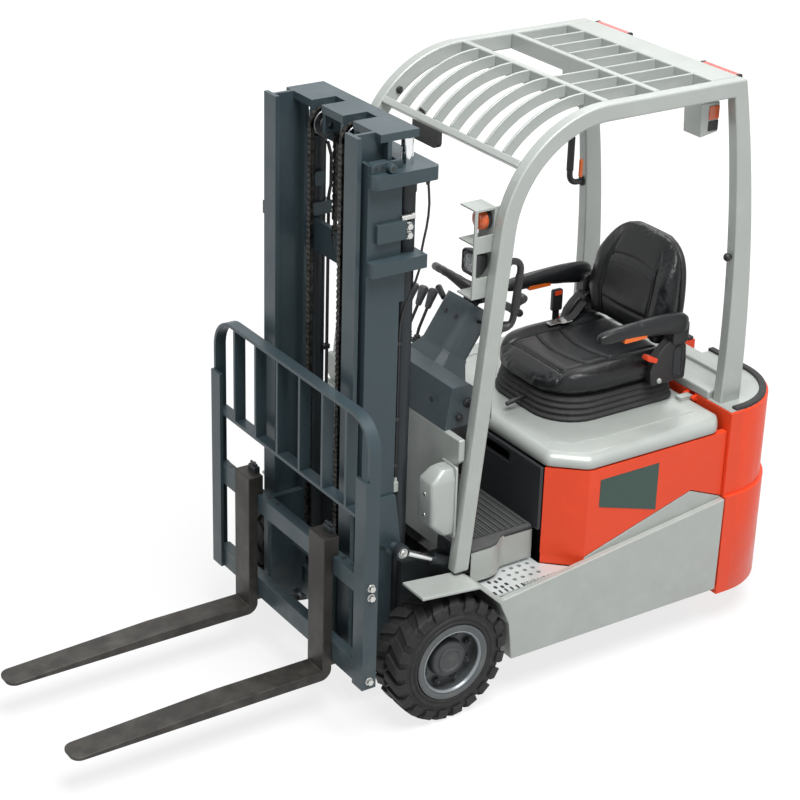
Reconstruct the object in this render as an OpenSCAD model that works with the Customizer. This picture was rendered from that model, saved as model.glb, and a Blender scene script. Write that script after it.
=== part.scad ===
// Three-wheel electric counterbalance forklift truck, in millimetres.
// +X is forward, +Y is the driver's left, +Z is up, the ground is z = 0.

/* [Overall] */
// front axle to front face of fork shanks
axle_to_fork_face = 370; // [300:450]
// front axle to rear of counterweight
axle_to_tail = 1520; // [1400:1700]
// width over lower side panels
body_width = 1060; // [1000:1150]
// front axle to steering axis at rear
wheelbase = 1235; // [1150:1350]
// cutting shapes' reach past what they cut
cut_over = 10; // [5:20]
// how far welded shapes run into each other
weld = 1; // [0.5:0.5:2]

/* [Front wheels] */
// radius over tread lugs
tyre_radius = 229; // [210:250]
// width of front tyre
tyre_width = 160; // [140:180]
// front tyres' reach past body's sides
tyre_proud = 7; // [0:30]
// radius of rim seat under a front tyre
rim_radius = 140; // [110:160]
// width of tyre's shoulder
tyre_shoulder = 26; // [10:40]
// lugs on each side of a front tyre
lug_count = 16; // [12:24]
// gap's share of lugs' spacing
lug_gap_share = 0.4; // [0.3:0.05:0.6]
// lugs' inner ends as a share of tyre's width
lug_inner_share = 0.12; // [0.05:0.01:0.3]
// depth of dish in a front rim
rim_dish = 50; // [30:80]
// radius of dish in a front rim
dish_radius = 118; // [90:130]
// radius of hub inside dish
hub_radius = 62; // [40:80]
// hub's reach out of dish
hub_out = 30; // [10:45]
// radius of wheel shaft
shaft_radius = 30; // [20:40]
// running clearance round a shaft
shaft_gap = 0.6; // [0.4:0.1:2]
// length of wheel shaft inside rim
shaft_in = 70; // [40:90]

/* [Drive axle] */
// radius of axle tube that mast turns on
axle_radius = 62; // [50:75]
// radius of gear case
gear_radius = 112; // [90:130]
// gap between gear case and tyre
gear_gap = 8; // [5:15]
// radius of drive motor
motor_radius = 100; // [80:115]
// inner end of drive motor off centre
motor_gap = 22; // [12:60]
// drive motors behind axle
motor_back = 205; // [180:230]
// radius of motor's gear cover
cover_radius = 78; // [60:90]

/* [Rear wheels] */
// radius of rear tyre
rear_radius = 192; // [170:210]
// width of rear tyre
rear_width = 108; // [90:130]
// gap between twin rear tyres
rear_gap = 58; // [50:90]
// rim radius under a rear tyre
rear_rim = 110; // [90:130]
// depth of dish in a rear rim
rear_dish = 40; // [20:60]
// radius of dish in a rear rim
rear_dish_radius = 88; // [60:95]
// thickness of steering leg
leg_thick = 40; // [30:45]
// fore-and-aft length of steering leg
leg_long = 130; // [90:160]
// radius of rear wheel axle
rear_shaft = 26; // [20:35]
// radius of turntable above twin wheels
table_radius = 130; // [100:150]
// thickness of turntable
table_thick = 24; // [15:30]
// underside of turntable above rear tyres
table_over = 12; // [8:20]
// radius of steering kingpin
kingpin_radius = 42; // [30:50]
// height of kingpin above turntable
kingpin_high = 62; // [40:80]
// gap between turntable and steering plate
table_gap = 6; // [5:10]

/* [Frame] */
// underside of frame and side panels
frame_low = 155; // [120:180]
// thickness of frame plates
plate = 24; // [15:30]
// thickness of floor pan
pan = 25; // [15:35]
// front frame plates in from body's sides
frame_inset = 218; // [205:230]
// front end of front frame plates from axle
front_reach = 84; // [60:100]
// front of battery compartment behind axle
battery_bay = 450; // [430:480]
// rear bulkhead behind axle
bulkhead = 972; // [960:1000]
// frame sills in from body's sides
sill_inset = 102; // [90:110]
// depth of side panel from its outer face
panel_deep = 25; // [15:35]
// top of frame sills
sill_top = 395; // [380:405]
// front end of frame sills behind axle
sill_front = 290; // [280:320]
// top of battery side walls
wall_top = 780; // [760:790]
// thickness of battery side walls
wall = 20; // [15:25]
// length of steering plate behind bulkhead
steer_plate_long = 405; // [380:420]
// half width of steering plate
steer_plate_half = 170; // [150:185]
// height of cab feet above floor beams
foot_high = 60; // [50:70]
// thickness of cab foot
foot_thick = 20; // [15:25]
// front of cab feet behind axle
foot_front = 75; // [72:80]
// fore-and-aft length of cab foot
foot_long = 40; // [30:46]
// radius of tilt cylinder pins
tilt_pin = 14; // [10:18]
// tilt cylinder pins on frame behind axle
tilt_back = 200; // [180:220]
// tilt cylinder pins on frame
tilt_low = 450; // [430:470]
// tilt cylinder pins on mast ahead of axle
tilt_front = 110; // [100:120]
// tilt cylinder pins on mast
tilt_high = 605; // [590:620]
// tilt cylinders out from front frame plates
tilt_out = 29; // [26:32]

/* [Battery] */
// fore-and-aft length of battery
battery_long = 480; // [460:485]
// room on each side of battery
battery_gap = 30; // [20:40]
// height of battery
battery_high = 610; // [560:615]

/* [Body panels] */
// top of side panel at its front end
panel_front_top = 405; // [390:410]
// top of side panel at its rear end
panel_rear_top = 528; // [500:540]
// rear end of side panel behind axle
panel_tail = 1182; // [1160:1184]
// front end of side panel's top edge behind axle
panel_head = 205; // [190:220]
// thickness of fender plate
fender_thick = 12; // [8:16]
// width of fender
fender_wide = 125; // [110:130]
// forward tip of fender ahead of axle
fender_tip = 128; // [100:140]
// height of fender's forward tip
fender_tip_top = 514; // [500:520]
// crown of fender behind axle
fender_crown = 105; // [90:120]
// height of fender's crown
fender_crown_top = 490; // [480:500]
// rear bend of fender behind axle
fender_bend = 247; // [240:255]
// height of fender's rear bend
fender_bend_top = 300; // [280:320]
// foot of fender behind axle
fender_foot = 264; // [255:280]
// thickness of red covers
cover_thick = 25; // [15:30]
// lower edge of red covers at front
cover_low = 458; // [450:470]
// upper edge of red covers
cover_top = 790; // [780:792]
// red covers' front chamfer
cover_chamfer = 103; // [95:115]
// rear end of chamfer behind axle
cover_bend = 565; // [540:590]
// peak of grey sweep behind axle
sweep_peak = 1035; // [1000:1060]
// height of grey sweep's peak
sweep_peak_top = 594; // [580:610]
// height of grey sweep at rear seam
sweep_tail_top = 530; // [528:550]
// gap drawn between neighbouring panels
seam = 4; // [2:6]

/* [Hood] */
// top of hood
hood_top = 842; // [835:850]
// thickness of hood at its edge
hood_thick = 46; // [35:46]
// rear end of hood behind axle
hood_tail = 1162; // [1150:1164]
// hood hinges behind axle
hinge_back = 1176; // [1174:1178]
// hood hinges
hinge_high = 847; // [845:850]
// radius of hinge knuckles
hinge_radius = 9; // [7:10]
// radius of hinge pins
hinge_pin = 5; // [4:0.5:6]
// hood hinges off centre
hinge_side = 300; // [260:340]
// width of hood's hinge knuckle
hinge_wide = 30; // [20:40]
// width of hinge lug on counterweight
hinge_lug = 14; // [10:20]
// depth of hollow under hood
hood_hollow = 26; // [20:30]
// rim of hood round its hollow
hood_rim = 40; // [30:60]
// thickness of panel before battery
bay_panel = 14; // [10:18]
// width of grip slot in bay panel
slot_wide = 200; // [150:240]
// height of grip slot in bay panel
slot_high = 40; // [30:60]
// grip slot's middle left of centre line
slot_side = 117; // [90:140]
// grip slot's middle
slot_mid = 752; // [740:756]

/* [Counterweight] */
// front face of counterweight behind axle
weight_front = 1186; // [1184:1200]
// underside of counterweight
weight_low = 130; // [110:150]
// top of counterweight
weight_top = 862; // [850:870]
// height of crease round counterweight
crease = 534; // [520:545]
// step in at crease
crease_step = 12; // [6:18]
// corner radius of counterweight
weight_corner = 280; // [240:320]
// radius of steering well in counterweight
well_radius = 250; // [245:252]
// top of steering well
well_top = 540; // [500:560]
// half width of rear opening of well
well_half = 190; // [150:210]
// top of rear opening of well
well_arch = 300; // [250:330]
// half width of towing pocket
tow_half = 55; // [40:70]
// height of towing pocket
tow_high = 92; // [70:110]
// depth of towing pocket
tow_deep = 75; // [50:80]
// underside of towing pocket
tow_low = 610; // [590:640]
// radius of towing pin's bore
tow_bore = 15; // [10:18]
// thickness of each towing plate
tow_plate = 30; // [20:40]
// rear cover in from counterweight's edge
deck_in = 132; // [128:150]
// height of rear cover
deck_high = 34; // [25:45]
// depth of dish in rear cover
deck_dish = 16; // [8:20]
// rim round dish
deck_rim = 45; // [30:60]
// height of rubber trim on counterweight
trim_high = 14; // [8:20]
// width of rubber trim
trim_wide = 26; // [15:35]
// rubber trim in from counterweight's edge
trim_in = 8; // [4:12]

/* [Step and floor] */
// top of step
step_top = 417; // [412:425]
// thickness of step plate
step_thick = 12; // [8:14]
// step in from floor plate's edge
step_lap = 24; // [18:30]
// front end of step behind axle
step_front = 292; // [290:310]
// rear end of step behind axle
step_back = 556; // [540:560]
// radius of holes in step
step_hole = 8; // [5:10]
// spacing of holes in step
step_pitch = 34; // [28:40]
// underside of floor plate
floor_low = 540; // [530:545]
// thickness of floor plate
floor_thick = 8; // [5:10]
// front of floor plate behind axle
floor_front = 122; // [120:140]
// edge of floor plate in from body's sides
floor_inset = 160; // [150:180]
// thickness of floor mat
mat_thick = 9; // [6:12]
// floor mat in from floor plate's edges
mat_in = 6; // [4:12]
// rib pitch of floor mat
mat_pitch = 26; // [20:40]
// rib width of floor mat
mat_rib = 14; // [10:20]
// rib height of floor mat
mat_rib_high = 3; // [2:5]

/* [Cowl and dash] */
// front face of cowl behind axle
cowl_front = 75; // [72:85]
// thickness of cowl
cowl_thick = 25; // [15:30]
// top of cowl
cowl_top = 992; // [970:1010]
// sides of cowl in from guard's
cowl_inset = 22; // [20:40]
// cowl's waist in from its shoulders
cowl_nip = 30; // [28:48]
// side pods' reach out of cowl
pod_deep = 100; // [60:110]
// width of side pod
pod_wide = 90; // [66:94]
// outer side of side pod in from cowl's
pod_inset = 2; // [0:10]
// underside of side pods
pod_low = 640; // [630:660]
// top of side pods
pod_top = 888; // [870:920]
// height of dash above cowl
dash_high = 150; // [120:180]
// fore-and-aft depth of dash
dash_deep = 190; // [150:220]
// ends of dash in from cowl's sides
dash_inset = 88; // [60:110]
// steering column's foot behind axle
column_front = 190; // [170:210]
// width of steering column cover
column_wide = 170; // [140:200]
// depth of steering column cover
column_deep = 120; // [90:140]
// length of steering column cover
column_long = 330; // [300:360]
// foot of steering column above cowl
column_rise = 18; // [10:40]
// steering column left of centre line
column_side = 30; // [0:60]
// backward lean of steering column
column_lean = 34; // [20:45]

/* [Controls] */
// radius of steering wheel
wheel_radius = 178; // [160:190]
// radius of steering wheel's rim tube
wheel_tube = 14; // [10:17]
// radius of steering wheel's boss
boss_radius = 44; // [35:55]
// height of steering wheel's boss
boss_high = 34; // [25:45]
// width of steering wheel spoke
spoke_wide = 34; // [25:45]
// thickness of steering wheel spoke
spoke_thick = 10; // [8:14]
// gap between boss and column cover
boss_gap = 6; // [5:10]
// radius of steering shaft
steer_shaft = 13; // [10:16]
// steering shaft's length in column
steer_shaft_in = 60; // [40:80]
// radius of spinner knob
knob_radius = 22; // [15:28]
// height of spinner knob
knob_high = 46; // [35:60]
// radius of lever's rod
lever_radius = 7; // [5:9]
// length of lever's rod
lever_long = 192; // [170:220]
// radius of lever's knob
grip_radius = 19; // [14:24]
// height of lever's knob
grip_high = 52; // [40:70]
// spacing of levers
lever_pitch = 54; // [45:60]
// first lever in from dash's right end
lever_room = 241; // [235:250]
// feet of levers behind cowl's front face
lever_back = 140; // [130:150]
// backward lean of levers
lever_lean = 21; // [10:30]
// fore-and-aft length of pedal
pedal_long = 110; // [90:150]
// width of pedal
pedal_wide = 70; // [60:90]
// thickness of pedal
pedal_thick = 14; // [10:20]
// brake pedal right of centre line
brake_side = 60; // [40:80]
// accelerator pedal right of centre line
speed_side = 190; // [170:210]
// pedals behind cowl's front face
pedal_back = 100; // [90:140]

/* [Overhead guard] */
// sides of guard in from body's
guard_inset = 91; // [80:100]
// width of guard rail
rail_wide = 46; // [40:55]
// depth of guard rail
rail_deep = 58; // [50:70]
// top of guard
guard_top = 2068; // [2050:2090]
// outer radius of guard's front bend
bend_radius = 412; // [380:440]
// feet of front pillars behind axle
pillar_back = 62.4; // [58:0.1:70]
// lean of front pillars back from upright
pillar_lean = 6; // [4:0.5:8]
// foot of front pillars
pillar_foot = 502; // [500:520]
// rear of roof behind axle
roof_tail = 1176; // [1150:1200]
// thickness of roof bars
bar_thick = 10; // [8:14]
// depth of roof bars
bar_deep = 40; // [30:50]
// how many roof bars lie between rails
bar_count = 7; // [5:9]
// how many roof bars cross middle bay
mid_bar_count = 3; // [2:5]
// fore-and-aft width of roof cross bar
cross_wide = 26; // [20:36]
// middle cross bar behind bend's middle
mid_cross_back = 214; // [180:240]
// front edge of rear roof beam behind axle
rear_beam = 1058; // [1030:1080]
// angle of front lower cross bar up its bend
visor_angle = 38; // [30:45]
// bow of rear pillars backward
pillar_bow = 36; // [20:50]
// foot of rear pillars behind axle
rear_foot = 1200; // [1195:1220]
// depth of rear pillar's foot
rear_foot_deep = 92; // [80:110]

/* [Lamps and mirror] */
// lamp plates ahead of bend's middle
lamp_ahead = 408; // [390:412]
// thickness of lamp plates
lamp_plate_thick = 6; // [4:8]
// height of lamp plates
lamp_tall = 305; // [280:320]
// top of lamp plates below guard's top
lamp_drop = 288; // [280:320]
// width of lamp plates
lamp_wide = 84; // [70:100]
// depth of lamp visors
visor_deep = 75; // [50:80]
// lamp brackets' lap on pillars
lamp_lap = 40; // [30:50]
// radius of turn lamps
turn_radius = 36; // [28:42]
// depth of turn lamps
turn_deep = 44; // [30:60]
// middle of turn lamps below plates' top
turn_drop = 50; // [46:60]
// width and height of headlamps
head_size = 84; // [70:90]
// depth of headlamps
head_deep = 62; // [50:80]
// middle of headlamps below plates' top
head_drop = 192; // [175:200]
// length of rear lamps
tail_long = 190; // [150:240]
// height of rear lamps
tail_high = 46; // [35:60]
// depth of rear lamps
tail_deep = 26; // [20:40]
// rear lamps in from roof rails
tail_inset = 9; // [4:30]
// radius of grab handles
handle_radius = 14; // [10:18]
// length of grab handles
handle_long = 260; // [200:320]
// stand-off of grab handles
handle_off = 55; // [45:70]
// middle of front grab handle below bend
handle_drop = 216; // [190:300]
// rear grab handle below guard's top
rear_handle_drop = 508; // [450:560]
// width of mirror
mirror_wide = 150; // [120:200]
// height of mirror
mirror_high = 84; // [70:110]
// thickness of mirror
mirror_thick = 22; // [15:30]
// mirror right of centre line
mirror_side = 195; // [150:230]
// length of mirror's stem
mirror_stem = 26; // [15:40]

/* [Seat] */
// seat left of centre line
seat_side = 35; // [0:45]
// front of seat base behind axle
seat_front = 605; // [590:650]
// rear of seat base behind axle
seat_back_at = 1140; // [1110:1150]
// half width of seat base
base_half = 235; // [200:245]
// height of seat base
base_high = 85; // [70:100]
// half width of cushion
cushion_half = 250; // [220:260]
// thickness of cushion
cushion_thick = 105; // [90:130]
// front of cushion behind axle
cushion_front = 590; // [580:630]
// corner radius of cushion
cushion_corner = 60; // [40:80]
// height of back rest above cushion
back_high = 378; // [350:460]
// thickness of back rest
back_thick = 96; // [80:120]
// half width of back rest
back_half = 215; // [200:245]
// clearance of a loose seating
seat_gap = 0.3; // [0.2:0.1:0.5]
// backward lean of back rest
back_lean = 6; // [4:0.5:10]
// length of an armrest
arm_long = 330; // [230:350]
// thickness of an armrest
arm_thick = 58; // [45:70]
// width of an armrest
arm_wide = 52; // [40:60]
// underside of armrests above cushion
arm_over = 125; // [90:140]
// armrest arm's thickness
arm_plate = 14; // [10:20]
// buckle's length
buckle_long = 90; // [70:110]
// buckle's width
buckle_wide = 46; // [35:55]
// buckle's thickness
buckle_thick = 18; // [12:24]

/* [Mast] */
// outer uprights in from front frame plates
mast_gap = 8; // [6:14]
// web thickness of uprights
web = 14; // [10:16]
// flange thickness of uprights
flange = 15; // [12:18]
// rear face of outer uprights ahead of axle
outer_rear = 105; // [100:110]
// front face of outer uprights ahead of axle
outer_front = 232; // [225:235]
// flange width of outer uprights
outer_flange = 46; // [40:46]
// underside of outer uprights
outer_low = 110; // [100:130]
// top of outer uprights below inner ones'
outer_drop = 84; // [76:110]
// inner uprights in from outer ones' outer side
nest = 20; // [19:24]
// flange width of inner uprights
inner_flange = 74; // [70:76]
// inner uprights' web in from outer side
inner_web_in = 32; // [30:34]
// rear face of inner uprights ahead of axle
inner_rear = 134; // [130:138]
// front face of inner uprights ahead of axle
inner_front = 260; // [255:265]
// underside of inner uprights
inner_low = 175; // [165:190]
// top of inner uprights
inner_top = 2044; // [2030:2050]
// thickness of inner mast's head plate
head_thick = 26; // [20:32]
// rear edge of head plate ahead of axle
head_rear = 34; // [28:40]
// front edge of head plate ahead of axle
head_front = 176; // [165:185]
// thickness of outer mast's top plate
collar_thick = 45; // [30:50]
// underside of top plate below uprights' top
collar_drop = 72; // [60:80]
// top plate's reach past uprights' sides
collar_over = 38; // [30:46]
// rear edge of top plate behind axle
collar_back = 12; // [5:20]
// lift cylinders' brackets below top plate
brace_drop = 288; // [250:320]
// height of mast cross members
tie_high = 110; // [80:140]
// thickness of mast cross members
tie_thick = 18; // [12:22]
// lift cylinders ahead of axle
lift_front = 66; // [64:70]
// lift cylinders in from uprights' side
lift_inset = 36; // [34:44]
// radius of lift cylinder's barrel
barrel_radius = 31; // [28:33]
// radius of lift cylinder's rod
rod_radius = 20; // [16:22]
// running clearance round a rod
rod_gap = 0.6; // [0.4:0.1:2]
// underside of lift cylinders
barrel_low = 330; // [325:340]
// top of lift cylinders below that plate
barrel_drop = 10; // [8:40]
// floor thickness of lift cylinder
barrel_floor = 20; // [15:22]
// room under a lowered rod
rod_spare = 52; // [50:60]
// radius of mast's foot bearing
foot_radius = 92; // [85:100]
// thickness of mast's foot plates
foot_plate = 40; // [30:46]
// running clearance on axle tube
axle_gap = 0.6; // [0.4:0.1:2]
// plate thickness of tilt brackets
ear_thick = 14; // [10:18]
// height of tilt brackets on upright
ear_high = 190; // [150:220]
// radius round tilt pin
ear_radius = 30; // [24:36]

/* [Chains] */
// chains' place between middle and carriage plates
chain_side_share = 0.5341; // [0.48:0.01:0.6]
// chain sheaves ahead of axle
sheave_front = 148; // [140:155]
// middle of sheaves below inner mast's top
sheave_drop = 68; // [60:80]
// radius of sheave's chain seat
sheave_radius = 40; // [35:45]
// width of sheave
sheave_wide = 30; // [24:36]
// thickness of sheave's rim
sheave_rim = 4; // [3:6]
// height of sheave's rim above chain seat
sheave_lip = 6; // [4:9]
// radius of sheave's pin
sheave_pin = 12; // [10:16]
// width of chain
chain_wide = 20; // [16:24]
// links of chain over a sheave
chain_links = 10; // [6:16]
// thickness of chain
chain_thick = 16; // [12:20]
// upper end of chains on carriage
chain_low = 452; // [440:470]
// chain anchors below lift cylinders' top
anchor_drop = 223; // [210:240]
// length of chain anchor
anchor_long = 60; // [40:90]

/* [Carriage] */
// thickness of fork shank
shank_thick = 36; // [30:40]
// thickness of carriage bars
bar_bar = 40; // [35:45]
// half width of carriage bars
bar_half = 476; // [460:480]
// underside of upper bar
upper_low = 553; // [545:560]
// height of upper bar
upper_high = 66; // [60:72]
// underside of lower bar
lower_low = 214; // [205:220]
// height of lower bar
lower_high = 76; // [70:82]
// thickness of carriage plates
cheek = 24; // [18:26]
// carriage plates in from flanges
cheek_gap = 10; // [6:14]
// rear edge of carriage plates ahead of axle
cheek_rear = 165; // [158:170]
// top of carriage plates below upper bar's top
cheek_drop = 10; // [8:20]
// radius of carriage roller
roller_radius = 42; // [38:42]
// width of carriage roller
roller_wide = 34; // [28:36]
// lower rollers
roller_low = 290; // [280:300]
// upper rollers
roller_high = 545; // [530:555]
// radius of roller's pin
roller_pin = 16; // [12:20]

/* [Load backrest] */
// half width of backrest
rest_half = 508; // [500:515]
// top of backrest
rest_top = 1192; // [1150:1230]
// depth of backrest bars
rest_deep = 42; // [30:50]
// thickness of backrest bars
rest_thick = 12; // [8:14]
// corner radius of backrest
rest_corner = 118; // [90:140]
// top face of backrest's cross plate
rest_cross = 838; // [820:850]
// upright bars in backrest
rest_bars = 6; // [4:8]
// width of backrest's side plates
rest_plate_wide = 62; // [50:70]
// top of backrest's side plates
rest_plate_top = 985; // [950:1010]

/* [Forks] */
// length of fork blade
fork_length = 920; // [800:1200]
// width of fork
fork_wide = 100; // [90:120]
// middle of fork off centre
fork_side = 250; // [200:300]
// underside of fork blades
fork_low = 145; // [100:160]
// thickness of fork blade at heel
blade_thick = 36; // [30:40]
// thickness of fork blade at tip
tip_thick = 12; // [9:16]
// length of blade's taper
taper_long = 560; // [400:620]
// radius of fork tip's corners
tip_corner = 34; // [25:45]
// top of fork shank
shank_top = 690; // [680:700]
// heel radius of fork
heel_radius = 40; // [30:50]
// thickness of fork hook
hook_thick = 16; // [12:20]
// reach of fork hook over carriage bar
hook_deep = 22; // [18:26]

/* [Tilt cylinders] */
// radius of tilt cylinder's barrel
tilt_radius = 22; // [18:24]
// length of tilt barrel from its pin
tilt_barrel = 205; // [190:220]
// radius of tilt cylinder's rod
tilt_rod = 13; // [10:16]
// width of tilt cylinder's eyes
eye_wide = 30; // [24:36]
// radius of tilt cylinder's eyes
eye_radius = 26; // [22:30]
// running clearance in rod's eye
eye_gap = 1.6; // [1:0.1:2]

/* [Hidden] */
$fn = 64;
axle_x = (axle_to_tail - axle_to_fork_face - fork_length) / 2;
side = body_width / 2;
cover_out = side - panel_deep;
cover_nose = cover_out - cover_chamfer;
bay_panel_half = cover_nose - seam;
fender_in = side - fender_wide;
floor_half = side - floor_inset;
step_in = floor_half - step_lap;
sill_in = side - sill_inset;
battery_wide = 2 * (sill_in - battery_gap);
tyre_out = side + tyre_proud;
front_in = side - frame_inset;
front_out = front_in + plate;
tilt_side = front_out + tilt_out;
motor_length = front_in - motor_gap;
upright_out = front_in - mast_gap;
inner_out = upright_out - nest;
lift_side = upright_out - lift_inset;
collar_half = upright_out + collar_over;
cheek_out = inner_out - inner_flange - cheek_gap;
chain_side = chain_side_share * (cheek_out - cheek);
outer_top = inner_top - outer_drop;
collar_low = outer_top - collar_drop;
barrel_top = collar_low - barrel_drop;
anchor_high = barrel_top - anchor_drop;
sheave_high = inner_top - sheave_drop;
guard_out = side - guard_inset;
rail_in = guard_out - rail_wide;
cowl_half = guard_out - cowl_inset;
cowl_waist = cowl_half - cowl_nip;
pod_out = cowl_half - pod_inset;
pod_in = pod_out - pod_wide;
dash_half = cowl_half - dash_inset;
lever_side = dash_half - lever_room;
column_foot = cowl_top + column_rise;
bend_high = guard_top - bend_radius;
bend_back = pillar_back + bend_radius / cos(pillar_lean) + (bend_high - pillar_foot) * tan(pillar_lean);
mid_cross = bend_back + mid_cross_back;
lamp_plate = bend_back - lamp_ahead;
lamp_high = guard_top - lamp_drop;
lamp_low = lamp_high - lamp_tall;
turn_mid = lamp_high - turn_drop;
head_mid = lamp_high - head_drop;
tail_side = rail_in - tail_inset - tail_long / 2;
handle_mid = bend_high - handle_drop;
rear_handle_mid = guard_top - rear_handle_drop;
tyre_mid = tyre_out - tyre_width / 2;
tyre_in = tyre_out - tyre_width;
pan_top = frame_low + pan;
table_low = 2 * rear_radius + table_over;
table_top = table_low + table_thick;
steer_plate_low = table_top + table_gap;
twin_mid = (rear_gap + rear_width) / 2;
floor_top = floor_low + floor_thick;
bar_front = axle_to_fork_face - shank_thick;
bar_rear = bar_front - bar_bar;
tilt_run = tilt_front + tilt_back;
tilt_rise = tilt_high - tilt_low;
tilt_span = sqrt(tilt_run * tilt_run + tilt_rise * tilt_rise);
tilt_angle = atan2(tilt_rise, tilt_run);
bar_pitch = 2 * rail_in / (bar_count + 1);
seat_low = hood_top;
cushion_low = seat_low + base_high;
cushion_top = cushion_low + cushion_thick;
rest_front = bar_front;
rest_pitch = 2 * rest_half / (rest_bars + 1);
bend_steps = 24;

// every piece
// the piece to draw, or all

// moves a piece from the front axle to its place
module place() { translate([axle_x, 0, 0]) children(); }

// children on the left and, mirrored, on the right
module both() { children(); mirror([0, 1, 0]) children(); }

// from one side to the other
function span(a) = [-a, a];

// a box between two corners
module box(x, y, z) { translate([x[0], y[0], z[0]]) cube([x[1] - x[0], y[1] - y[0], z[1] - z[0]]); }

// a plan raised between two heights
module rise(from, to) { translate([0, 0, from]) linear_extrude(to - from) children(); }

// a side view between two y values
module side_plate(y) { translate([0, y[1], 0]) rotate([90, 0,
  0]) linear_extrude(y[1] - y[0]) children(); }

// a round bar between two y values
module cross_bar(x, z, y, r) { translate([x, y[1], z]) rotate([90, 0, 0]) cylinder(h = y[1] - y[0],
  r = r); }

// a rounded rectangle about its middle
module round_rect(l, w, r) {
  square([l - 2 * r, w], center = true);
  square([l, w - 2 * r], center = true);
  for (sx = [-1, 1], sy = [-1, 1]) translate([sx * (l / 2 - r), sy * (w / 2 - r)]) circle(r);
}

// a ring about the y axis
module ring(r, w, r_in) {
  rotate([90, 0, 0]) rotate_extrude() translate([r_in, -w / 2]) square([r - r_in, w]);
}

// a front tyre with its lugs
module front_tyre() {
  pitch = 2 * PI * tyre_radius / lug_count;
  gap = lug_gap_share * pitch;
  difference() {
    ring(tyre_radius, tyre_width, rim_radius);
    for (i = [1 : lug_count], s = [0, 1]) rotate([90 + 180 * s, 360 / lug_count * (i + s / 2), 0]) {
      translate([tyre_radius - tyre_shoulder - weld, -gap / 2, tyre_width * lug_inner_share])
        cube([tyre_radius, gap, tyre_width]);
      rotate([0, 0, 180 / lug_count]) translate([tyre_radius, -pitch / 2, tyre_width / 2 - tyre_shoulder])
        rotate([0, -45, 0]) cube([tyre_radius, pitch, tyre_width]);
    }
  }
}

module chassis() {
  color("#3b4148") place() difference() {
    union() {
      box([-bulkhead, -battery_bay], span(sill_in), [frame_low, pan_top]);
      both() box([-panel_tail, -sill_front], [sill_in, side - panel_deep], [frame_low, sill_top]);
      both() box([-panel_tail, -cover_bend - cover_thick],
        [cover_out - cover_thick - wall, cover_out - cover_thick], [sill_top - wall, wall_top]);
      box([-bulkhead - plate, -bulkhead], [-cover_out + cover_thick, cover_out - cover_thick],
        [frame_low, wall_top]);
      box([-battery_bay, -battery_bay + plate], [-sill_in - plate, sill_in + plate],
        [frame_low, sill_top]);
      box([-battery_bay, -battery_bay + plate], span(front_out), [frame_low, floor_low]);
      both() box([-battery_bay, front_reach], [front_in, front_out], [frame_low, floor_low]);
      both() box([-foot_front - foot_long, -foot_front], [front_in, front_out],
        [frame_low, floor_low + foot_high]);
      both() box([-foot_front - foot_long, -foot_front], [front_in, rail_in],
        [floor_low + foot_high - foot_thick, floor_low + foot_high]);
      box([-bulkhead - steer_plate_long, -bulkhead], span(steer_plate_half),
        [steer_plate_low, steer_plate_low + plate]);
      both() cross_bar(-tilt_back, tilt_low, [front_in, tilt_side + eye_wide / 2], tilt_pin);
    }
    cross_bar(0, tyre_radius, [-front_out - cut_over, front_out + cut_over], axle_radius);
    translate([-wheelbase, 0, steer_plate_low - cut_over])
      cylinder(h = plate + 2 * cut_over, r = kingpin_radius + shaft_gap);
  }
}

module drive_axle() {
  color("#2e3338") place() {
    cross_bar(0, tyre_radius, span(front_out), axle_radius);
    both() cross_bar(0, tyre_radius, [front_out, tyre_in - gear_gap], gear_radius);
    both() cross_bar(0, tyre_radius, [tyre_in - gear_gap, tyre_in + shaft_in], shaft_radius);
  }
}

module drive_motors() {
  color("#26292d") place() both() {
    cross_bar(-motor_back, tyre_radius + cut_over, [front_in - motor_length, front_in], motor_radius);
    cross_bar(-motor_back, tyre_radius + cut_over,
      [front_in - motor_length - cut_over, front_in - motor_length], cover_radius);
  }
}

module battery() {
  color("#3f444a") place()
    box([-bulkhead, -bulkhead + battery_long], [-battery_wide / 2, battery_wide / 2],
      [pan_top, pan_top + battery_high]);
}

// the side panel's outline
module panel_outline() {
  polygon([[-fender_foot + fender_thick, frame_low], [-fender_bend + fender_thick, fender_bend_top],
    [-panel_head + fender_thick, panel_front_top - fender_thick], [-panel_head, panel_front_top],
    [-panel_tail, panel_rear_top], [-panel_tail + seam, frame_low]]);
}

// the fender's band seen from the left
module fender_outline() {
  polygon([[fender_tip, fender_tip_top], [-fender_crown, fender_crown_top],
    [-panel_head, panel_front_top],
    [-fender_bend, fender_bend_top], [-fender_foot, frame_low], [-fender_foot + fender_thick, frame_low],
    [-fender_bend + fender_thick, fender_bend_top],
      [-panel_head + fender_thick, panel_front_top - fender_thick],
    [-fender_crown, fender_crown_top - fender_thick], [fender_tip, fender_tip_top - fender_thick]]);
}

module side_panels() {
  color("#b9bcbc") place() both() {
    side_plate([side - panel_deep, side]) panel_outline();
    side_plate([fender_in, side]) fender_outline();
  }
}

// the red cover's plan
module cover_plan(t) {
  polygon([[-battery_bay, cover_nose], [-cover_bend, cover_out], [-panel_tail, cover_out],
    [-panel_tail, cover_out - t],
    [-cover_bend - t / 2, cover_out - t], [-battery_bay - t, cover_nose - t / 2]]);
}

// the grey sweep's outline below the red cover
module sweep_outline(drop) {
  polygon([[-cover_bend, cover_low - drop], [-sweep_peak, sweep_peak_top - drop],
    [-panel_tail, sweep_tail_top + seam - drop], [-panel_tail, sill_top], [-cover_bend, sill_top]]);
}

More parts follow.
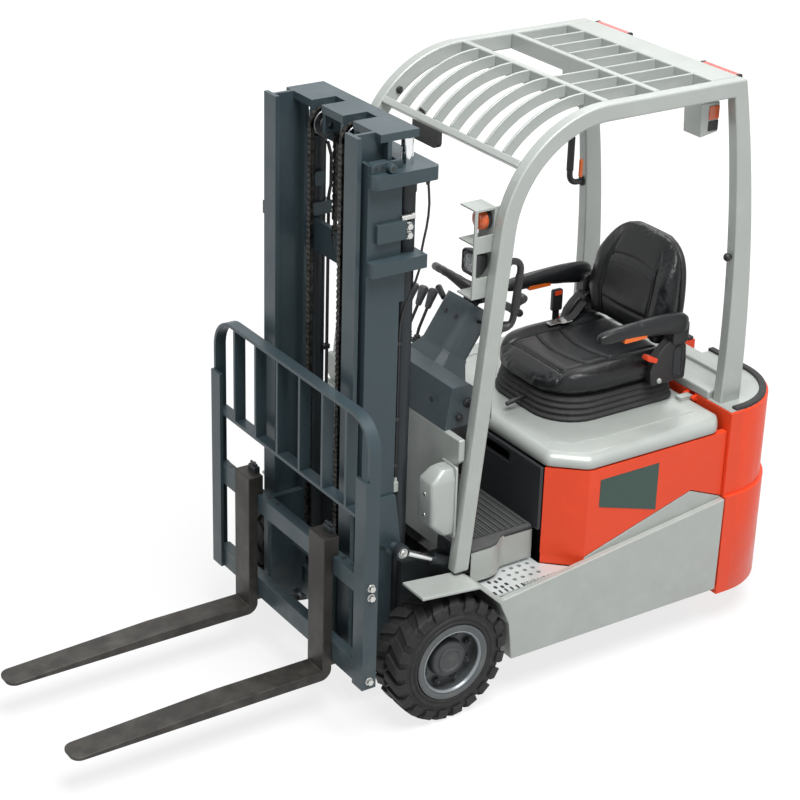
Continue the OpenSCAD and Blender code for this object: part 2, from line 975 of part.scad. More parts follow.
module red_covers() {
  color("#dc4a2d") place() both() difference() {
    rise(cover_low, cover_top) cover_plan(cover_thick);
    side_plate([cover_out - cover_thick - cut_over, cover_out + cut_over])
      polygon([[-cover_bend, cover_low], [-sweep_peak, sweep_peak_top],
        [-panel_tail - cut_over, sweep_tail_top],
        [-panel_tail - cut_over, cover_low - cut_over], [-cover_bend, cover_low - cut_over]]);
  }
}

module sweep_trims() {
  color("#a7abab") place() both() difference() {
    side_plate([cover_out - cover_thick, cover_out]) sweep_outline(seam);
    box([-panel_tail - cut_over, -panel_tail], [cover_out - cover_thick - cut_over, cover_out + cut_over],
      [sill_top - cut_over, weight_top]);
  }
}

module bay_panel_front() {
  color("#34393f") place() difference() {
    box([-battery_bay, -battery_bay + bay_panel], span(bay_panel_half),
      [floor_top, hood_top - hood_thick - 1.5 * seam]);
    box([-battery_bay - cut_over, -battery_bay + bay_panel + cut_over],
      [slot_side - slot_wide / 2, slot_side + slot_wide / 2],
      [slot_mid - slot_high / 2, slot_mid + slot_high / 2]);
  }
}

// the counterweight's plan, in from its edge
module weight_plan(in) {
  w = side - in;
  tail = axle_to_tail - in;
  r = weight_corner - in;
  intersection() {
    union() {
      translate([-tail + r, -w]) square([tail - r - weight_front, 2 * w]);
      translate([-tail, -w + r]) square([r, 2 * (w - r)]);
      for (s = [-1, 1]) translate([-tail + r, s * (w - r)]) circle(r);
    }
    translate([-tail, -w]) square([tail - weight_front, 2 * w]);
  }
}

// one hinge lug on the counterweight's front
module hinge_lug_at(y) {
  cross_bar(-hinge_back, hinge_high, [y - hinge_lug / 2, y + hinge_lug / 2], hinge_radius);
  box([-weight_front - weld, -hinge_back], [y - hinge_lug / 2, y + hinge_lug / 2],
    [hinge_high - hinge_radius, hinge_high + hinge_radius]);
}

module counterweight() {
  color("#dc4a2d") place() difference() {
    union() {
      rise(weight_low, crease) weight_plan(0);
      rise(crease, weight_top) weight_plan(crease_step);
      both() for (s = [-1, 1])
        hinge_lug_at(hinge_side + s * (hinge_wide / 2 + hinge_lug / 2 + shaft_gap));
      both() cross_bar(-hinge_back, hinge_high, [hinge_side - hinge_wide / 2 - hinge_lug,
        hinge_side + hinge_wide / 2 + hinge_lug], hinge_pin);
    }
    both() box([-weight_front - 2 * hinge_radius, -weight_front + weld],
      [hinge_side - hinge_wide / 2 - shaft_gap, hinge_side + hinge_wide / 2 + shaft_gap],
      [hinge_high - 2 * hinge_radius, weight_top + cut_over]);
    translate([-wheelbase, 0, weight_low - cut_over])
      cylinder(h = well_top - weight_low + cut_over, r = well_radius);
    box([-axle_to_tail - cut_over, -wheelbase], span(well_half), [weight_low - cut_over, well_arch]);
    box([-axle_to_tail - cut_over, -axle_to_tail + tow_deep], span(tow_half),
      [tow_low - tow_plate, weight_top + cut_over]);
  }
}

module tow_plates() {
  color("#43474a") place() for (z = [tow_low - tow_plate, tow_low + tow_high])
    translate([-axle_to_tail, 0, z]) linear_extrude(tow_plate) difference() {
      translate([2 * crease_step, seat_gap - tow_half])
        square([tow_deep - 2 * crease_step, 2 * (tow_half - seat_gap)]);
      translate([tow_deep / 2 + crease_step, 0]) circle(tow_bore);
    }
}

module rear_deck() {
  color("#b4b7b6") place() difference() {
    translate([0, 0, weight_top]) linear_extrude(deck_high) weight_plan(deck_in + crease_step);
    translate([0, 0, weight_top + deck_high - deck_dish]) linear_extrude(deck_dish + cut_over)
      difference() {
      weight_plan(deck_in + crease_step + deck_rim);
      translate([-weight_front - deck_rim, -side]) square([deck_rim + cut_over, 2 * side]);
    }
  }
}

module deck_trim() {
  color("#1b1c1e") place() translate([0, 0, weight_top]) linear_extrude(trim_high) difference() {
    weight_plan(crease_step + trim_in);
    weight_plan(crease_step + trim_in + trim_wide);
    translate([-axle_to_tail, -tow_half]) square([tow_deep, 2 * tow_half]);
    translate([-weight_front - trim_wide, -side]) square([trim_wide + cut_over, 2 * side]);
  }
}

module steps() {
  step_out = side - panel_deep;
  color("#a9adad") place() both() difference() {
    union() {
      translate([0, 0, step_top - step_thick]) linear_extrude(step_thick)
        polygon([[-step_front, step_in], [-step_front, step_out],
        [-step_back, step_out], [-battery_bay + seam, cover_nose], [-battery_bay + seam, step_in]]);
      box([-battery_bay + seam, -step_front], [step_in, step_in + step_thick],
        [step_top - weld, floor_low]);
    }
    for (i = [1 : floor((battery_bay - step_front) / step_pitch)],
      j = [1 : floor((step_out - step_in) / step_pitch) - 1])
      translate([-step_front - (i - 1 / 2) * step_pitch, step_in + step_thick + (j - 1 / 4) * step_pitch,
        step_top - step_thick - cut_over])
        cylinder(h = step_thick + 2 * cut_over, r = step_hole, $fn = 24);
  }
}

module floor_plate() {
  color("#4a4f55") place() box([-battery_bay, -floor_front], span(floor_half), [floor_low, floor_top]);
}

module floor_mat() {
  color("#25282b") place() {
    box([-battery_bay + bay_panel, -floor_front - mat_in], [-floor_half + mat_in, floor_half - mat_in],
      [floor_top, floor_top + mat_thick]);
    for (i = [1 : floor((battery_bay - floor_front - bay_panel) / mat_pitch) - 1])
      box([-battery_bay + bay_panel + i * mat_pitch, -battery_bay + bay_panel + i * mat_pitch + mat_rib],
        [-floor_half + mat_in + mat_rib, floor_half - mat_in - mat_rib],
          [floor_top, floor_top + mat_thick + mat_rib_high]);
  }
}

module front_cowl() {
  color("#b4b7b6") place() translate([-cowl_front - cowl_thick, 0, 0]) rotate([90, 0, 90])
    linear_extrude(cowl_thick) polygon([
    [-front_in, floor_low], [front_in, floor_low], [front_in, pod_low], [cowl_waist, pod_low],
      [cowl_waist, pod_top],
    [cowl_half, pod_top + cowl_thick], [cowl_half, cowl_top], [-cowl_half, cowl_top],
      [-cowl_half, pod_top + cowl_thick],
    [-cowl_waist, pod_top], [-cowl_waist, pod_low], [-front_in, pod_low]]);
}

module side_pods() {
  color("#b4b7b6") place() both()
    translate([-cowl_front, (pod_in + pod_out) / 2, (pod_low + pod_top) / 2]) rotate([90, 0, 90])
    linear_extrude(pod_deep) round_rect(pod_out - pod_in, pod_top - pod_low, cowl_thick);
}

// the dash without its column
module dash_block() {
  side_plate(span(dash_half))
    polygon([[-cowl_front, cowl_top], [-cowl_front - cowl_thick, cowl_top + dash_high],
    [-cowl_front - dash_deep / 2, cowl_top + dash_high],
    [-cowl_front - dash_deep, cowl_top + dash_high / 2], [-cowl_front - dash_deep, cowl_top]]);
}

module dash() {
  color("#56626c") place() {
    dash_block();
    translate([-column_front, column_side, column_foot]) rotate([0, -column_lean, 0]) difference() {
      linear_extrude(column_long) round_rect(column_deep, column_wide, column_deep / 3);
      translate([0, 0, column_long - steer_shaft_in - boss_gap])
        cylinder(h = steer_shaft_in + boss_gap + cut_over, r = steer_shaft + shaft_gap);
    }
  }
}

module levers() {
  color("#2b2d30") place() difference() {
    for (i = [0 : 2])
      translate([-cowl_front - lever_back, -lever_side - i * lever_pitch, cowl_top + dash_high / 2])
      rotate([0, -lever_lean, 0]) {
        cylinder(h = lever_long, r = lever_radius);
        translate([0, 0, lever_long]) cylinder(h = grip_high, r1 = lever_radius, r2 = grip_radius);
      }
    dash_block();
  }
}

module pedals() {
  color("#232528") place() for (s = [brake_side, speed_side])
    translate([-cowl_front - pedal_back, -s - pedal_wide / 2, floor_top + mat_thick + mat_rib_high])
      rotate([0, -column_lean, 0]) cube([pedal_thick, pedal_wide, pedal_long]);
}

// points along a bend
function bend(r, from, to) = [for (i = [0 : bend_steps]) let (a = from + (to - from) * i / bend_steps)
  [-bend_back + r * cos(a), bend_high + r * sin(a)]];

// the foot of a front pillar's edge, tangent to a bend
function foot_point(r) =
  [-bend_back + r / cos(pillar_lean) + (bend_high - pillar_foot) * tan(pillar_lean), pillar_foot];

// the rear pillar's edges at a share of its height
function rear_edge(t) =
  -(rear_foot + rear_foot_deep) * (1 - t) - roof_tail * t - pillar_bow * 4 * t * (1 - t);
function front_edge(t) = rear_edge(t) + rear_foot_deep * (1 - t) + rail_deep * t;
function pillar_height(t) = weight_top + (guard_top - weight_top) * t;
function pillar_share(z) = (z - weight_top) / (guard_top - weight_top);

module guard_sides() {
  under = pillar_share(guard_top - rail_deep);
  color("#b9bcbc") place() both() side_plate([rail_in, guard_out]) polygon(concat(
    [foot_point(bend_radius)], bend(bend_radius, pillar_lean, 90),
    [for (i = [bend_steps : -1 : 0]) [rear_edge(i / bend_steps), pillar_height(i / bend_steps)]],
    [for (i = [0 : bend_steps]) [front_edge(under * i / bend_steps),
      pillar_height(under * i / bend_steps)]],
    bend(bend_radius - rail_deep, 90, pillar_lean), [foot_point(bend_radius - rail_deep)]));
}

module guard_crossbars() {
  color("#b9bcbc") place() {
    translate([-bend_back, rail_in, bend_high]) rotate([90, -visor_angle, 0])
      translate([bend_radius - bar_deep, -cross_wide / 2, 0]) cube([bar_deep, cross_wide, 2 * rail_in]);
    box([-bend_back - cross_wide, -bend_back], span(rail_in), [guard_top - rail_deep, guard_top]);
    box([-mid_cross - cross_wide, -mid_cross], span(rail_in), [guard_top - rail_deep, guard_top]);
    box([-roof_tail, -rear_beam], span(rail_in), [guard_top - rail_deep, guard_top]);
  }
}

// one bent roof bar
module bent_bar() {
  translate([-bend_back, bar_thick / 2, bend_high]) rotate([90, 0, 0]) rotate([0, 0, visor_angle])
    rotate_extrude(angle = 90 - visor_angle, $fn = 160) translate([bend_radius - bar_deep, 0])
      square([bar_deep, bar_thick]);
}

module guard_bars() {
  color("#b9bcbc") place() for (i = [1 : bar_count]) translate([0, -rail_in + i * bar_pitch, 0]) {
    difference() {
      bent_bar();
      translate([-bend_back, 0, bend_high]) rotate([0, -visor_angle, 0])
        box([0, bend_radius + cut_over], span(bar_thick), [-bend_radius, cross_wide / 2]);
    }
    box([-rear_beam, -mid_cross - cross_wide], [-bar_thick / 2, bar_thick / 2],
      [guard_top - bar_deep, guard_top]);
    if (i > bar_count - mid_bar_count)
      box([-mid_cross, -bend_back - cross_wide], [-bar_thick / 2, bar_thick / 2],
        [guard_top - bar_deep, guard_top]);
  }
}

module lamp_brackets() {
  color("#b9bcbc") place() both() {
    box([-lamp_plate - lamp_plate_thick, -lamp_plate], [rail_in - lamp_wide, rail_in],
      [lamp_low, lamp_high]);
    side_plate([rail_in - lamp_plate_thick, rail_in]) difference() {
      translate([-lamp_plate - lamp_lap, lamp_low]) square([lamp_lap + visor_deep, lamp_tall]);
      for (z = [turn_mid, head_mid]) translate([-lamp_plate, z - head_size / 2])
        square([visor_deep - 2 * lamp_plate_thick, head_size]);
    }
    for (z = [lamp_low, (turn_mid + head_mid) / 2, lamp_high - lamp_plate_thick])
      box([-lamp_plate - weld, -lamp_plate + visor_deep], [rail_in - lamp_wide, rail_in],
        [z, z + lamp_plate_thick]);
  }
}

module turn_lamps() {
  color("#d9772b") place() both() translate([-lamp_plate, rail_in - lamp_wide / 2, turn_mid])
    rotate([0, 90, 0]) cylinder(h = turn_deep, r = turn_radius);
}

module headlamps() {
  color("#d8dcdd") place() both() translate([-lamp_plate, rail_in - lamp_wide / 2, head_mid])
    rotate([90, 0, 90]) linear_extrude(head_deep) round_rect(head_size, head_size, head_size / 6);
}

module rear_lamps() {
  color("#c23a26") place() both()
    box([-roof_tail - tail_deep, -roof_tail], [tail_side - tail_long / 2, tail_side + tail_long / 2],
      [guard_top - tail_high, guard_top]);
}

// a grab handle standing off a pillar
module handle() {
  for (s = [-1, 1]) translate([0, 0, s * (handle_long / 2 - handle_radius)]) rotate([0, 90, 0])
    cylinder(h = handle_off, r = handle_radius);
  translate([handle_off, 0, -handle_long / 2]) cylinder(h = handle_long, r = handle_radius);
}

module grab_handles() {
  rear_x = front_edge(pillar_share(rear_handle_mid)) + handle_off;
  color("#1d1f21") place() {
    translate([-bend_back, guard_out - rail_wide / 2, bend_high]) rotate([0, -pillar_lean, 0])
      translate([bend_radius - rail_deep, 0, handle_mid - bend_high]) rotate([0, 180, 0]) handle();
    translate([0, -guard_out + rail_wide / 2, 0]) {
      for (z = [rear_handle_mid - handle_long / 2 + handle_radius,
        rear_handle_mid + handle_long / 2 - handle_radius]) {
        seat = max(front_edge(pillar_share(z - handle_radius)),
          front_edge(pillar_share(z + handle_radius))) + seat_gap;
        translate([seat, 0, z]) rotate([0, 90, 0]) cylinder(h = rear_x - seat, r = handle_radius);
      }
      translate([rear_x, 0, rear_handle_mid - handle_long / 2])
        cylinder(h = handle_long, r = handle_radius);
    }
  }
}

module mirror_back() {
  color("#1b1c1e") place() translate([-bend_back, -mirror_side, bend_high]) rotate([0, -visor_angle, 0])
    translate([bend_radius - bar_deep - mirror_stem, 0, 0]) {
      rotate([0, 90, 0]) cylinder(h = mirror_stem, r = handle_radius / 2);
      rotate([0, visor_angle, 0]) translate([-mirror_thick / 2, 0, -mirror_high / 2 + cross_wide / 2])
        rotate([90, 0, 90])
        linear_extrude(mirror_thick) round_rect(mirror_wide, mirror_high, mirror_high / 4);
    }
}

module steering_wheel() {
  color("#18191b") place() translate([-column_front, column_side, column_foot])
    rotate([0, -column_lean, 0]) translate([0, 0, column_long + boss_gap]) {
      cylinder(h = boss_high, r = boss_radius);
      translate([0, 0, -boss_gap - steer_shaft_in])
        cylinder(h = boss_gap + steer_shaft_in + weld, r = steer_shaft);
      translate([0, 0, boss_high - spoke_thick]) {
        rotate_extrude($fn = 96) translate([wheel_radius - wheel_tube, 0]) circle(wheel_tube, $fn = 24);
        for (a = [0, 130, 230]) rotate(a) translate([0, -spoke_wide / 2, -spoke_thick / 2])
          cube([wheel_radius - wheel_tube, spoke_wide, spoke_thick]);
        rotate(130) translate([wheel_radius - wheel_tube, 0, 0]) cylinder(h = knob_high, r = knob_radius);
      }
    }
}

// the hood's plan, in from its edge
module hood_plan(in) {
  polygon([[-battery_bay - in, -cover_nose + in], [-cover_bend, -cover_out + in],
    [-hood_tail + in, -cover_out + in],
    [-hood_tail + in, cover_out - in], [-cover_bend, cover_out - in],
      [-battery_bay - in, cover_nose - in]]);
}

module hood() {
  color("#b9bcbc") place() {
    translate([0, 0, hood_top - hood_thick]) difference() {
      linear_extrude(hood_thick) hood_plan(0);
      translate([0, 0, -cut_over]) linear_extrude(hood_hollow + cut_over) hood_plan(hood_rim);
    }
    both() difference() {
      union() {
        cross_bar(-hinge_back, hinge_high, [hinge_side - hinge_wide / 2, hinge_side + hinge_wide / 2],
          hinge_radius);
        box([-hinge_back, -hood_tail + hood_rim],
          [hinge_side - hinge_wide / 2, hinge_side + hinge_wide / 2],
          [hood_top - weld, hinge_high + hinge_radius]);
      }
      cross_bar(-hinge_back, hinge_high, [hinge_side - hinge_wide, hinge_side + hinge_wide],
        hinge_pin + shaft_gap);
    }
  }
}

module seat_base() {
  color("#1e2022") place() translate([-(seat_front + seat_back_at) / 2, seat_side, seat_low])
    linear_extrude(base_high) round_rect(seat_back_at - seat_front, 2 * base_half, cushion_corner / 2);
}

module seat_cushion() {
  color("#17181a") place() translate([-(cushion_front + seat_back_at) / 2, seat_side, cushion_low])
    linear_extrude(cushion_thick)
    round_rect(seat_back_at - cushion_front, 2 * cushion_half, cushion_corner);
}

module seat_backrest() {
  color("#17181a") place() translate([-seat_back_at, seat_side, cushion_top + seat_gap])
    rotate([0, -back_lean, 0])
    translate([0, 0, back_high / 2]) rotate([90, 0, 90]) linear_extrude(back_thick)
      round_rect(2 * back_half, back_high, cushion_corner);
}

module armrests() {
  color("#1c1d1f") place() translate([0, seat_side, 0]) both() {
    translate([-seat_back_at + back_thick + arm_long / 2, cushion_half + arm_wide / 2 + weld,
      cushion_top + arm_over]) linear_extrude(arm_thick) round_rect(arm_long, arm_wide, arm_wide / 4);
    box([-seat_back_at + arm_plate, -seat_back_at + back_thick + arm_wide],
      [cushion_half, cushion_half + arm_plate], [cushion_low, cushion_top + arm_over + weld]);
  }
}

module seat_buckle() {
  color("#202224") place()
    translate([-seat_back_at + back_thick + arm_wide + arm_plate, seat_side - cushion_half - buckle_thick,
    cushion_low]) cube([buckle_wide, buckle_thick, cushion_thick + buckle_long]);
}

module steer_leg() {
  color("#33383d") place() translate([-wheelbase, 0, 0]) {
    translate([0, 0, table_low]) cylinder(h = table_thick, r = table_radius);
    translate([0, 0, table_top]) cylinder(h = kingpin_high, r = kingpin_radius);
    box([-leg_long / 2, leg_long / 2], [-leg_thick / 2, leg_thick / 2],
      [rear_radius - rear_shaft, table_low]);
    cross_bar(0, rear_radius, [-twin_mid - rear_width / 4, twin_mid + rear_width / 4], rear_shaft);
  }
}

// one rear rim, its dish to +y
module rear_rim() {
  rotate([-90, 0, 0]) rotate_extrude() difference() {
    translate([rear_shaft + shaft_gap, -rear_width / 2])
      square([rear_rim - rear_shaft - shaft_gap, rear_width]);
    translate([rear_shaft, rear_width / 2 - rear_dish])
      square([rear_dish_radius - rear_shaft, rear_dish + cut_over]);
  }
}

module rear_rims() {
  color("#4d565e") place() both() translate([-wheelbase, twin_mid, rear_radius]) rear_rim();
}

module rear_tyres() {
  color("#1d1e20") place() both() translate([-wheelbase, twin_mid, rear_radius])
    ring(rear_radius, rear_width, rear_rim);
}

// one front rim, its dish to +y
module front_rim() {
  rotate([-90, 0, 0]) {
    rotate_extrude() difference() {
      translate([shaft_radius + shaft_gap, -tyre_width / 2])
        square([rim_radius - shaft_radius - shaft_gap, tyre_width]);
      translate([shaft_radius, tyre_width / 2 - rim_dish])
        square([dish_radius - shaft_radius, rim_dish + cut_over]);
    }
    translate([0, 0, shaft_in - tyre_width / 2 + gear_gap])
      cylinder(h = tyre_width - rim_dish - shaft_in - gear_gap + hub_out, r = hub_radius);
  }
}

module rim_left() {
  color("#4d565e") place() translate([0, tyre_mid, tyre_radius]) front_rim();
}

module tyre_left() {
  color("#1d1e20") place() translate([0, tyre_mid, tyre_radius]) front_tyre();
}

module rim_right() {
  color("#4d565e") place() mirror([0, 1, 0]) translate([0, tyre_mid, tyre_radius]) front_rim();
}

module tyre_right() {
  color("#1d1e20") place() mirror([0, 1, 0]) translate([0, tyre_mid, tyre_radius]) front_tyre();
}

// one outer upright's channel in plan
module outer_section() {
  difference() {
    translate([outer_rear, upright_out - outer_flange]) square([outer_front - outer_rear, outer_flange]);
    translate([outer_rear + flange, upright_out - outer_flange - cut_over])
      square([outer_front - outer_rear - 2 * flange, outer_flange + cut_over - web]);
  }
}

// one inner upright's I section in plan
module inner_section() {
  difference() {
    translate([inner_rear, inner_out - inner_flange]) square([inner_front - inner_rear, inner_flange]);
    translate([inner_rear + flange, inner_out - inner_web_in])
      square([inner_front - inner_rear - 2 * flange, inner_web_in + cut_over]);
    translate([inner_rear + flange, inner_out - inner_flange - cut_over])
      square([inner_front - inner_rear - 2 * flange, inner_flange + cut_over - inner_web_in - web]);
  }
}

module mast_outer() {
  color("#46545c") place() difference() {
    union() {
      both() rise(outer_low, outer_top) outer_section();
      rise(collar_low, collar_low + collar_thick) difference() {
        translate([(outer_front - collar_back) / 2, 0])
          round_rect(outer_front + collar_back, 2 * collar_half, collar_over / 2);
        translate([outer_rear - flange, -upright_out + web])
          square([outer_front, 2 * (upright_out - web)]);
      }
      both() rise(collar_low - brace_drop, collar_low - brace_drop + collar_thick) {
        translate([lift_front - collar_over, lift_side - collar_over])
          square([outer_rear + weld - lift_front + collar_over, collar_half - lift_side + collar_over]);
        translate([outer_rear, upright_out - weld])
          square([outer_front - outer_rear, collar_over + weld]);
      }
      box([outer_rear - tie_thick, outer_rear], span(upright_out),
        [anchor_high - anchor_long - tie_high, anchor_high - anchor_long]);
      box([outer_rear - tie_thick, outer_rear], span(upright_out), [outer_low, outer_low + tie_high]);
      both() side_plate([upright_out - foot_plate, upright_out]) difference() {
        union() {
          translate([0, tyre_radius]) circle(foot_radius);
          translate([0, tyre_radius - foot_radius]) square([outer_rear + flange, 2 * foot_radius]);
        }
        translate([0, tyre_radius]) circle(axle_radius + axle_gap);
      }
      both() side_plate([upright_out - weld, upright_out + ear_thick]) {
        translate([tilt_front, tilt_high]) circle(ear_radius);
        polygon([[tilt_front - ear_radius, tilt_high], [tilt_front + ear_radius, tilt_high],
          [outer_front, tilt_high + ear_high / 3],
          [outer_front, tilt_high + ear_high], [outer_rear, tilt_high + ear_high]]);
      }
      both() cross_bar(tilt_front, tilt_high, [upright_out, tilt_side + eye_wide / 2], tilt_pin);
    }
    both() translate([lift_front, lift_side, collar_low - cut_over])
      cylinder(h = collar_thick + 2 * cut_over, r = rod_radius + rod_gap);
    both() translate([lift_front, lift_side, outer_low])
      cylinder(h = barrel_top - outer_low, r = barrel_radius);
  }
}

module lift_barrels() {
  color("#1b1d1f") place() both() translate([lift_front, lift_side, barrel_low]) difference() {
    cylinder(h = barrel_top - barrel_low, r = barrel_radius);
    translate([0, 0, barrel_floor]) cylinder(h = barrel_top - barrel_low, r = rod_radius + rod_gap);
  }
}

module lift_rods() {
  color("#c9ccce") place() both()
    translate([lift_front, lift_side, barrel_low + barrel_floor + rod_spare])
    cylinder(h = inner_top - head_thick - barrel_low - barrel_floor - rod_spare, r = rod_radius);
}

module chain_anchors() {
  color("#2b2e31") place() both()
    translate([sheave_front - sheave_radius - chain_thick / 2, chain_side, anchor_high - anchor_long])
    translate([-chain_thick / 2, -chain_wide / 2, 0]) cube([chain_thick, chain_wide, anchor_long]);
}

module mast_inner() {
  color("#46545c") place() difference() {
    union() {
      both() rise(inner_low, inner_top) inner_section();
      difference() {
        box([head_rear, head_front], span(inner_out), [inner_top - head_thick, inner_top]);
        both() box([sheave_front - sheave_radius - sheave_lip - chain_thick, head_front + cut_over],
          [chain_side - sheave_wide, chain_side + sheave_wide],
            [inner_top - head_thick - cut_over, inner_top + cut_over]);
      }
      both() for (s = [-1, 1]) box([sheave_front - sheave_radius, sheave_front + 2 * sheave_pin],
        [chain_side + s * sheave_wide - tie_thick / 2 + s * tie_thick / 2,
          chain_side + s * sheave_wide + tie_thick / 2 + s * tie_thick / 2],
        [sheave_high - 2 * sheave_pin, inner_top]);
      box([inner_rear, inner_rear + tie_thick], span(inner_out - inner_flange + weld),
        [inner_low, inner_low + tie_high]);
    }
    both() cross_bar(sheave_front, sheave_high, [chain_side - 2 * sheave_wide,
      chain_side + 2 * sheave_wide], sheave_pin);
  }
}

module sheaves() {
  color("#2b2e31") place() both() {
    cross_bar(sheave_front, sheave_high, [chain_side - sheave_wide / 2, chain_side + sheave_wide / 2],
      sheave_radius - chain_thick / 4);
    for (s = [-1, 1]) cross_bar(sheave_front, sheave_high,
      [chain_side + s * sheave_wide / 2 - sheave_rim / 2,
      chain_side + s * sheave_wide / 2 + sheave_rim / 2], sheave_radius + sheave_lip);
    cross_bar(sheave_front, sheave_high, [chain_side - sheave_wide - tie_thick,
      chain_side + sheave_wide + tie_thick], sheave_pin);
  }
}

// ends of a chain's links over its sheave
function links(r, from) = [for (i = [0 : chain_links]) let (a = abs(from - 180 * i / chain_links))
  [r * cos(a), r * sin(a)]];

module chain_tops() {
  color("#26282a") place() both() translate([sheave_front, chain_side, sheave_high])
    side_plate(span(chain_wide / 2))
    polygon(concat(links(sheave_radius, 0), links(sheave_radius + chain_thick, 180)));
}

module chain_back_runs() {
  color("#26282a") place() both()
    box([sheave_front - sheave_radius - chain_thick, sheave_front - sheave_radius],
    [chain_side - chain_wide / 2, chain_side + chain_wide / 2], [anchor_high, sheave_high]);
}

module chain_front_runs() {
  color("#26282a") place() both()
    box([sheave_front + sheave_radius, sheave_front + sheave_radius + chain_thick],
    [chain_side - chain_wide / 2, chain_side + chain_wide / 2], [chain_low, sheave_high]);
}

module carriage() {
  color("#43515a") place() {
    box([bar_rear, bar_front], span(bar_half), [upper_low, upper_low + upper_high]);
    box([bar_rear, bar_front], span(bar_half), [lower_low, lower_low + lower_high]);
    both() box([cheek_rear, bar_rear], [cheek_out - cheek, cheek_out],
      [lower_low, upper_low + upper_high - cheek_drop]);
    box([cheek_rear, sheave_front + sheave_radius + chain_thick], [-cheek_out + cheek, cheek_out - cheek],
      [chain_low - tie_high / 2, chain_low]);
    both() for (z = [roller_low, roller_high])
      cross_bar((inner_front + inner_rear) / 2, z, [cheek_out, cheek_out + roller_wide / 4], roller_pin);
  }
}

module carriage_rollers() {
  color("#33373b") place() both() for (z = [roller_low, roller_high])
    cross_bar((inner_front + inner_rear) / 2, z, [cheek_out + roller_wide / 4, cheek_out + roller_wide],
      roller_radius);
}

// the backrest's outline, in from its edge
module rest_hoop(in) {
  translate([-rest_half + in, lower_low])
    square([2 * (rest_half - in), rest_top - rest_corner - lower_low]);
  translate([-rest_half + rest_corner, lower_low])
    square([2 * (rest_half - rest_corner), rest_top - in - lower_low]);
  for (s = [-1, 1]) translate([s * (rest_half - rest_corner), rest_top - rest_corner])
    circle(rest_corner - in);
}

module backrest() {
  color("#46545c") place() {
    translate([rest_front - rest_deep, 0, 0]) rotate([90, 0, 90]) linear_extrude(rest_deep) difference() {
      rest_hoop(0);
      rest_hoop(rest_thick);
      translate([-rest_half - cut_over, 0]) square([2 * (rest_half + cut_over), upper_low + upper_high]);
    }
    box([rest_front - rest_deep, rest_front], span(rest_half), [rest_cross - rest_thick, rest_cross]);
    for (i = [1 : rest_bars]) box([rest_front - rest_deep, rest_front],
      [-rest_half + i * rest_pitch - rest_thick / 2, -rest_half + i * rest_pitch + rest_thick / 2],
        [rest_cross, rest_top - rest_thick / 2]);
    both() {
      box([rest_front - rest_deep, rest_front], [rest_half - rest_thick, rest_half],
        [lower_low, upper_low + upper_high]);
      box([rest_front, rest_front + rest_thick], [rest_half - rest_plate_wide, rest_half],
        [lower_low, rest_plate_top]);
      for (z = [lower_low, upper_low]) box([rest_front - rest_deep, rest_front], [bar_half, rest_half],
        [z, z + upper_high]);
    }
  }
}

// one fork with its hooks
module fork_outline() {
  hook_back = bar_front - hook_deep;
  difference() {
    polygon([[bar_front, fork_low], [bar_front, lower_low - hook_thick],
      [hook_back, lower_low - hook_thick], [hook_back, lower_low],
      [bar_front, lower_low], [bar_front, upper_low + upper_high], [hook_back, upper_low + upper_high],
        [hook_back, shank_top],
      [axle_to_fork_face, shank_top], [axle_to_fork_face, fork_low + blade_thick],
        [axle_to_fork_face + fork_length - taper_long, fork_low + blade_thick],
      [axle_to_fork_face + fork_length, fork_low + tip_thick],
        [axle_to_fork_face + fork_length, fork_low]]);
    translate([bar_front, fork_low]) difference() {
      translate([-cut_over, -cut_over]) square(heel_radius + cut_over);
      translate([heel_radius, heel_radius]) circle(heel_radius);
    }
  }
}

module fork() {
  intersection() {
    side_plate([-fork_wide / 2, fork_wide / 2]) fork_outline();
    linear_extrude(shank_top) {
      translate([0, -fork_wide / 2]) square([axle_to_fork_face + fork_length - tip_corner, fork_wide]);
      translate([0, -fork_wide / 2 + tip_corner])
        square([axle_to_fork_face + fork_length, fork_wide - 2 * tip_corner]);
      for (s = [-1, 1])
        translate([axle_to_fork_face + fork_length - tip_corner, s * (fork_wide / 2 - tip_corner)])
        circle(tip_corner);
    }
  }
}

module fork_left() {
  color("#3a3733") place() translate([0, fork_side, 0]) fork();
}

module fork_right() {
  color("#3a3733") place() translate([0, -fork_side, 0]) fork();
}

// sets a tilt cylinder's line from its frame pin
module tilt_line() { translate([-tilt_back, tilt_side, tilt_low]) rotate([0, -tilt_angle,
  0]) children(); }

module tilt_barrels() {
  color("#1b1d1f") place() both() tilt_line() difference() {
    union() {
      cross_bar(0, 0, [-eye_wide / 2, eye_wide / 2], eye_radius);
      translate([eye_radius / 2, 0, 0]) rotate([0, 90, 0])
        cylinder(h = tilt_barrel - eye_radius / 2, r = tilt_radius);
    }
    cross_bar(0, 0, [-tilt_radius - cut_over, tilt_radius + cut_over], tilt_pin + shaft_gap);
    translate([2 * eye_radius, 0, 0]) rotate([0, 90, 0])
      cylinder(h = tilt_barrel, r = tilt_rod + rod_gap);
  }
}

module tilt_rods() {
  color("#c9ccce") place() both() tilt_line() difference() {
    union() {
      cross_bar(tilt_span, 0, [-eye_wide / 2, eye_wide / 2], eye_radius);
      translate([2 * eye_radius + 2 * tilt_radius, 0, 0]) rotate([0, 90, 0])
        cylinder(h = tilt_span - 2 * eye_radius - 2 * tilt_radius, r = tilt_rod);
    }
    cross_bar(tilt_span, 0, [-eye_wide / 2 - cut_over, eye_wide / 2 + cut_over], tilt_pin + eye_gap);
  }
}

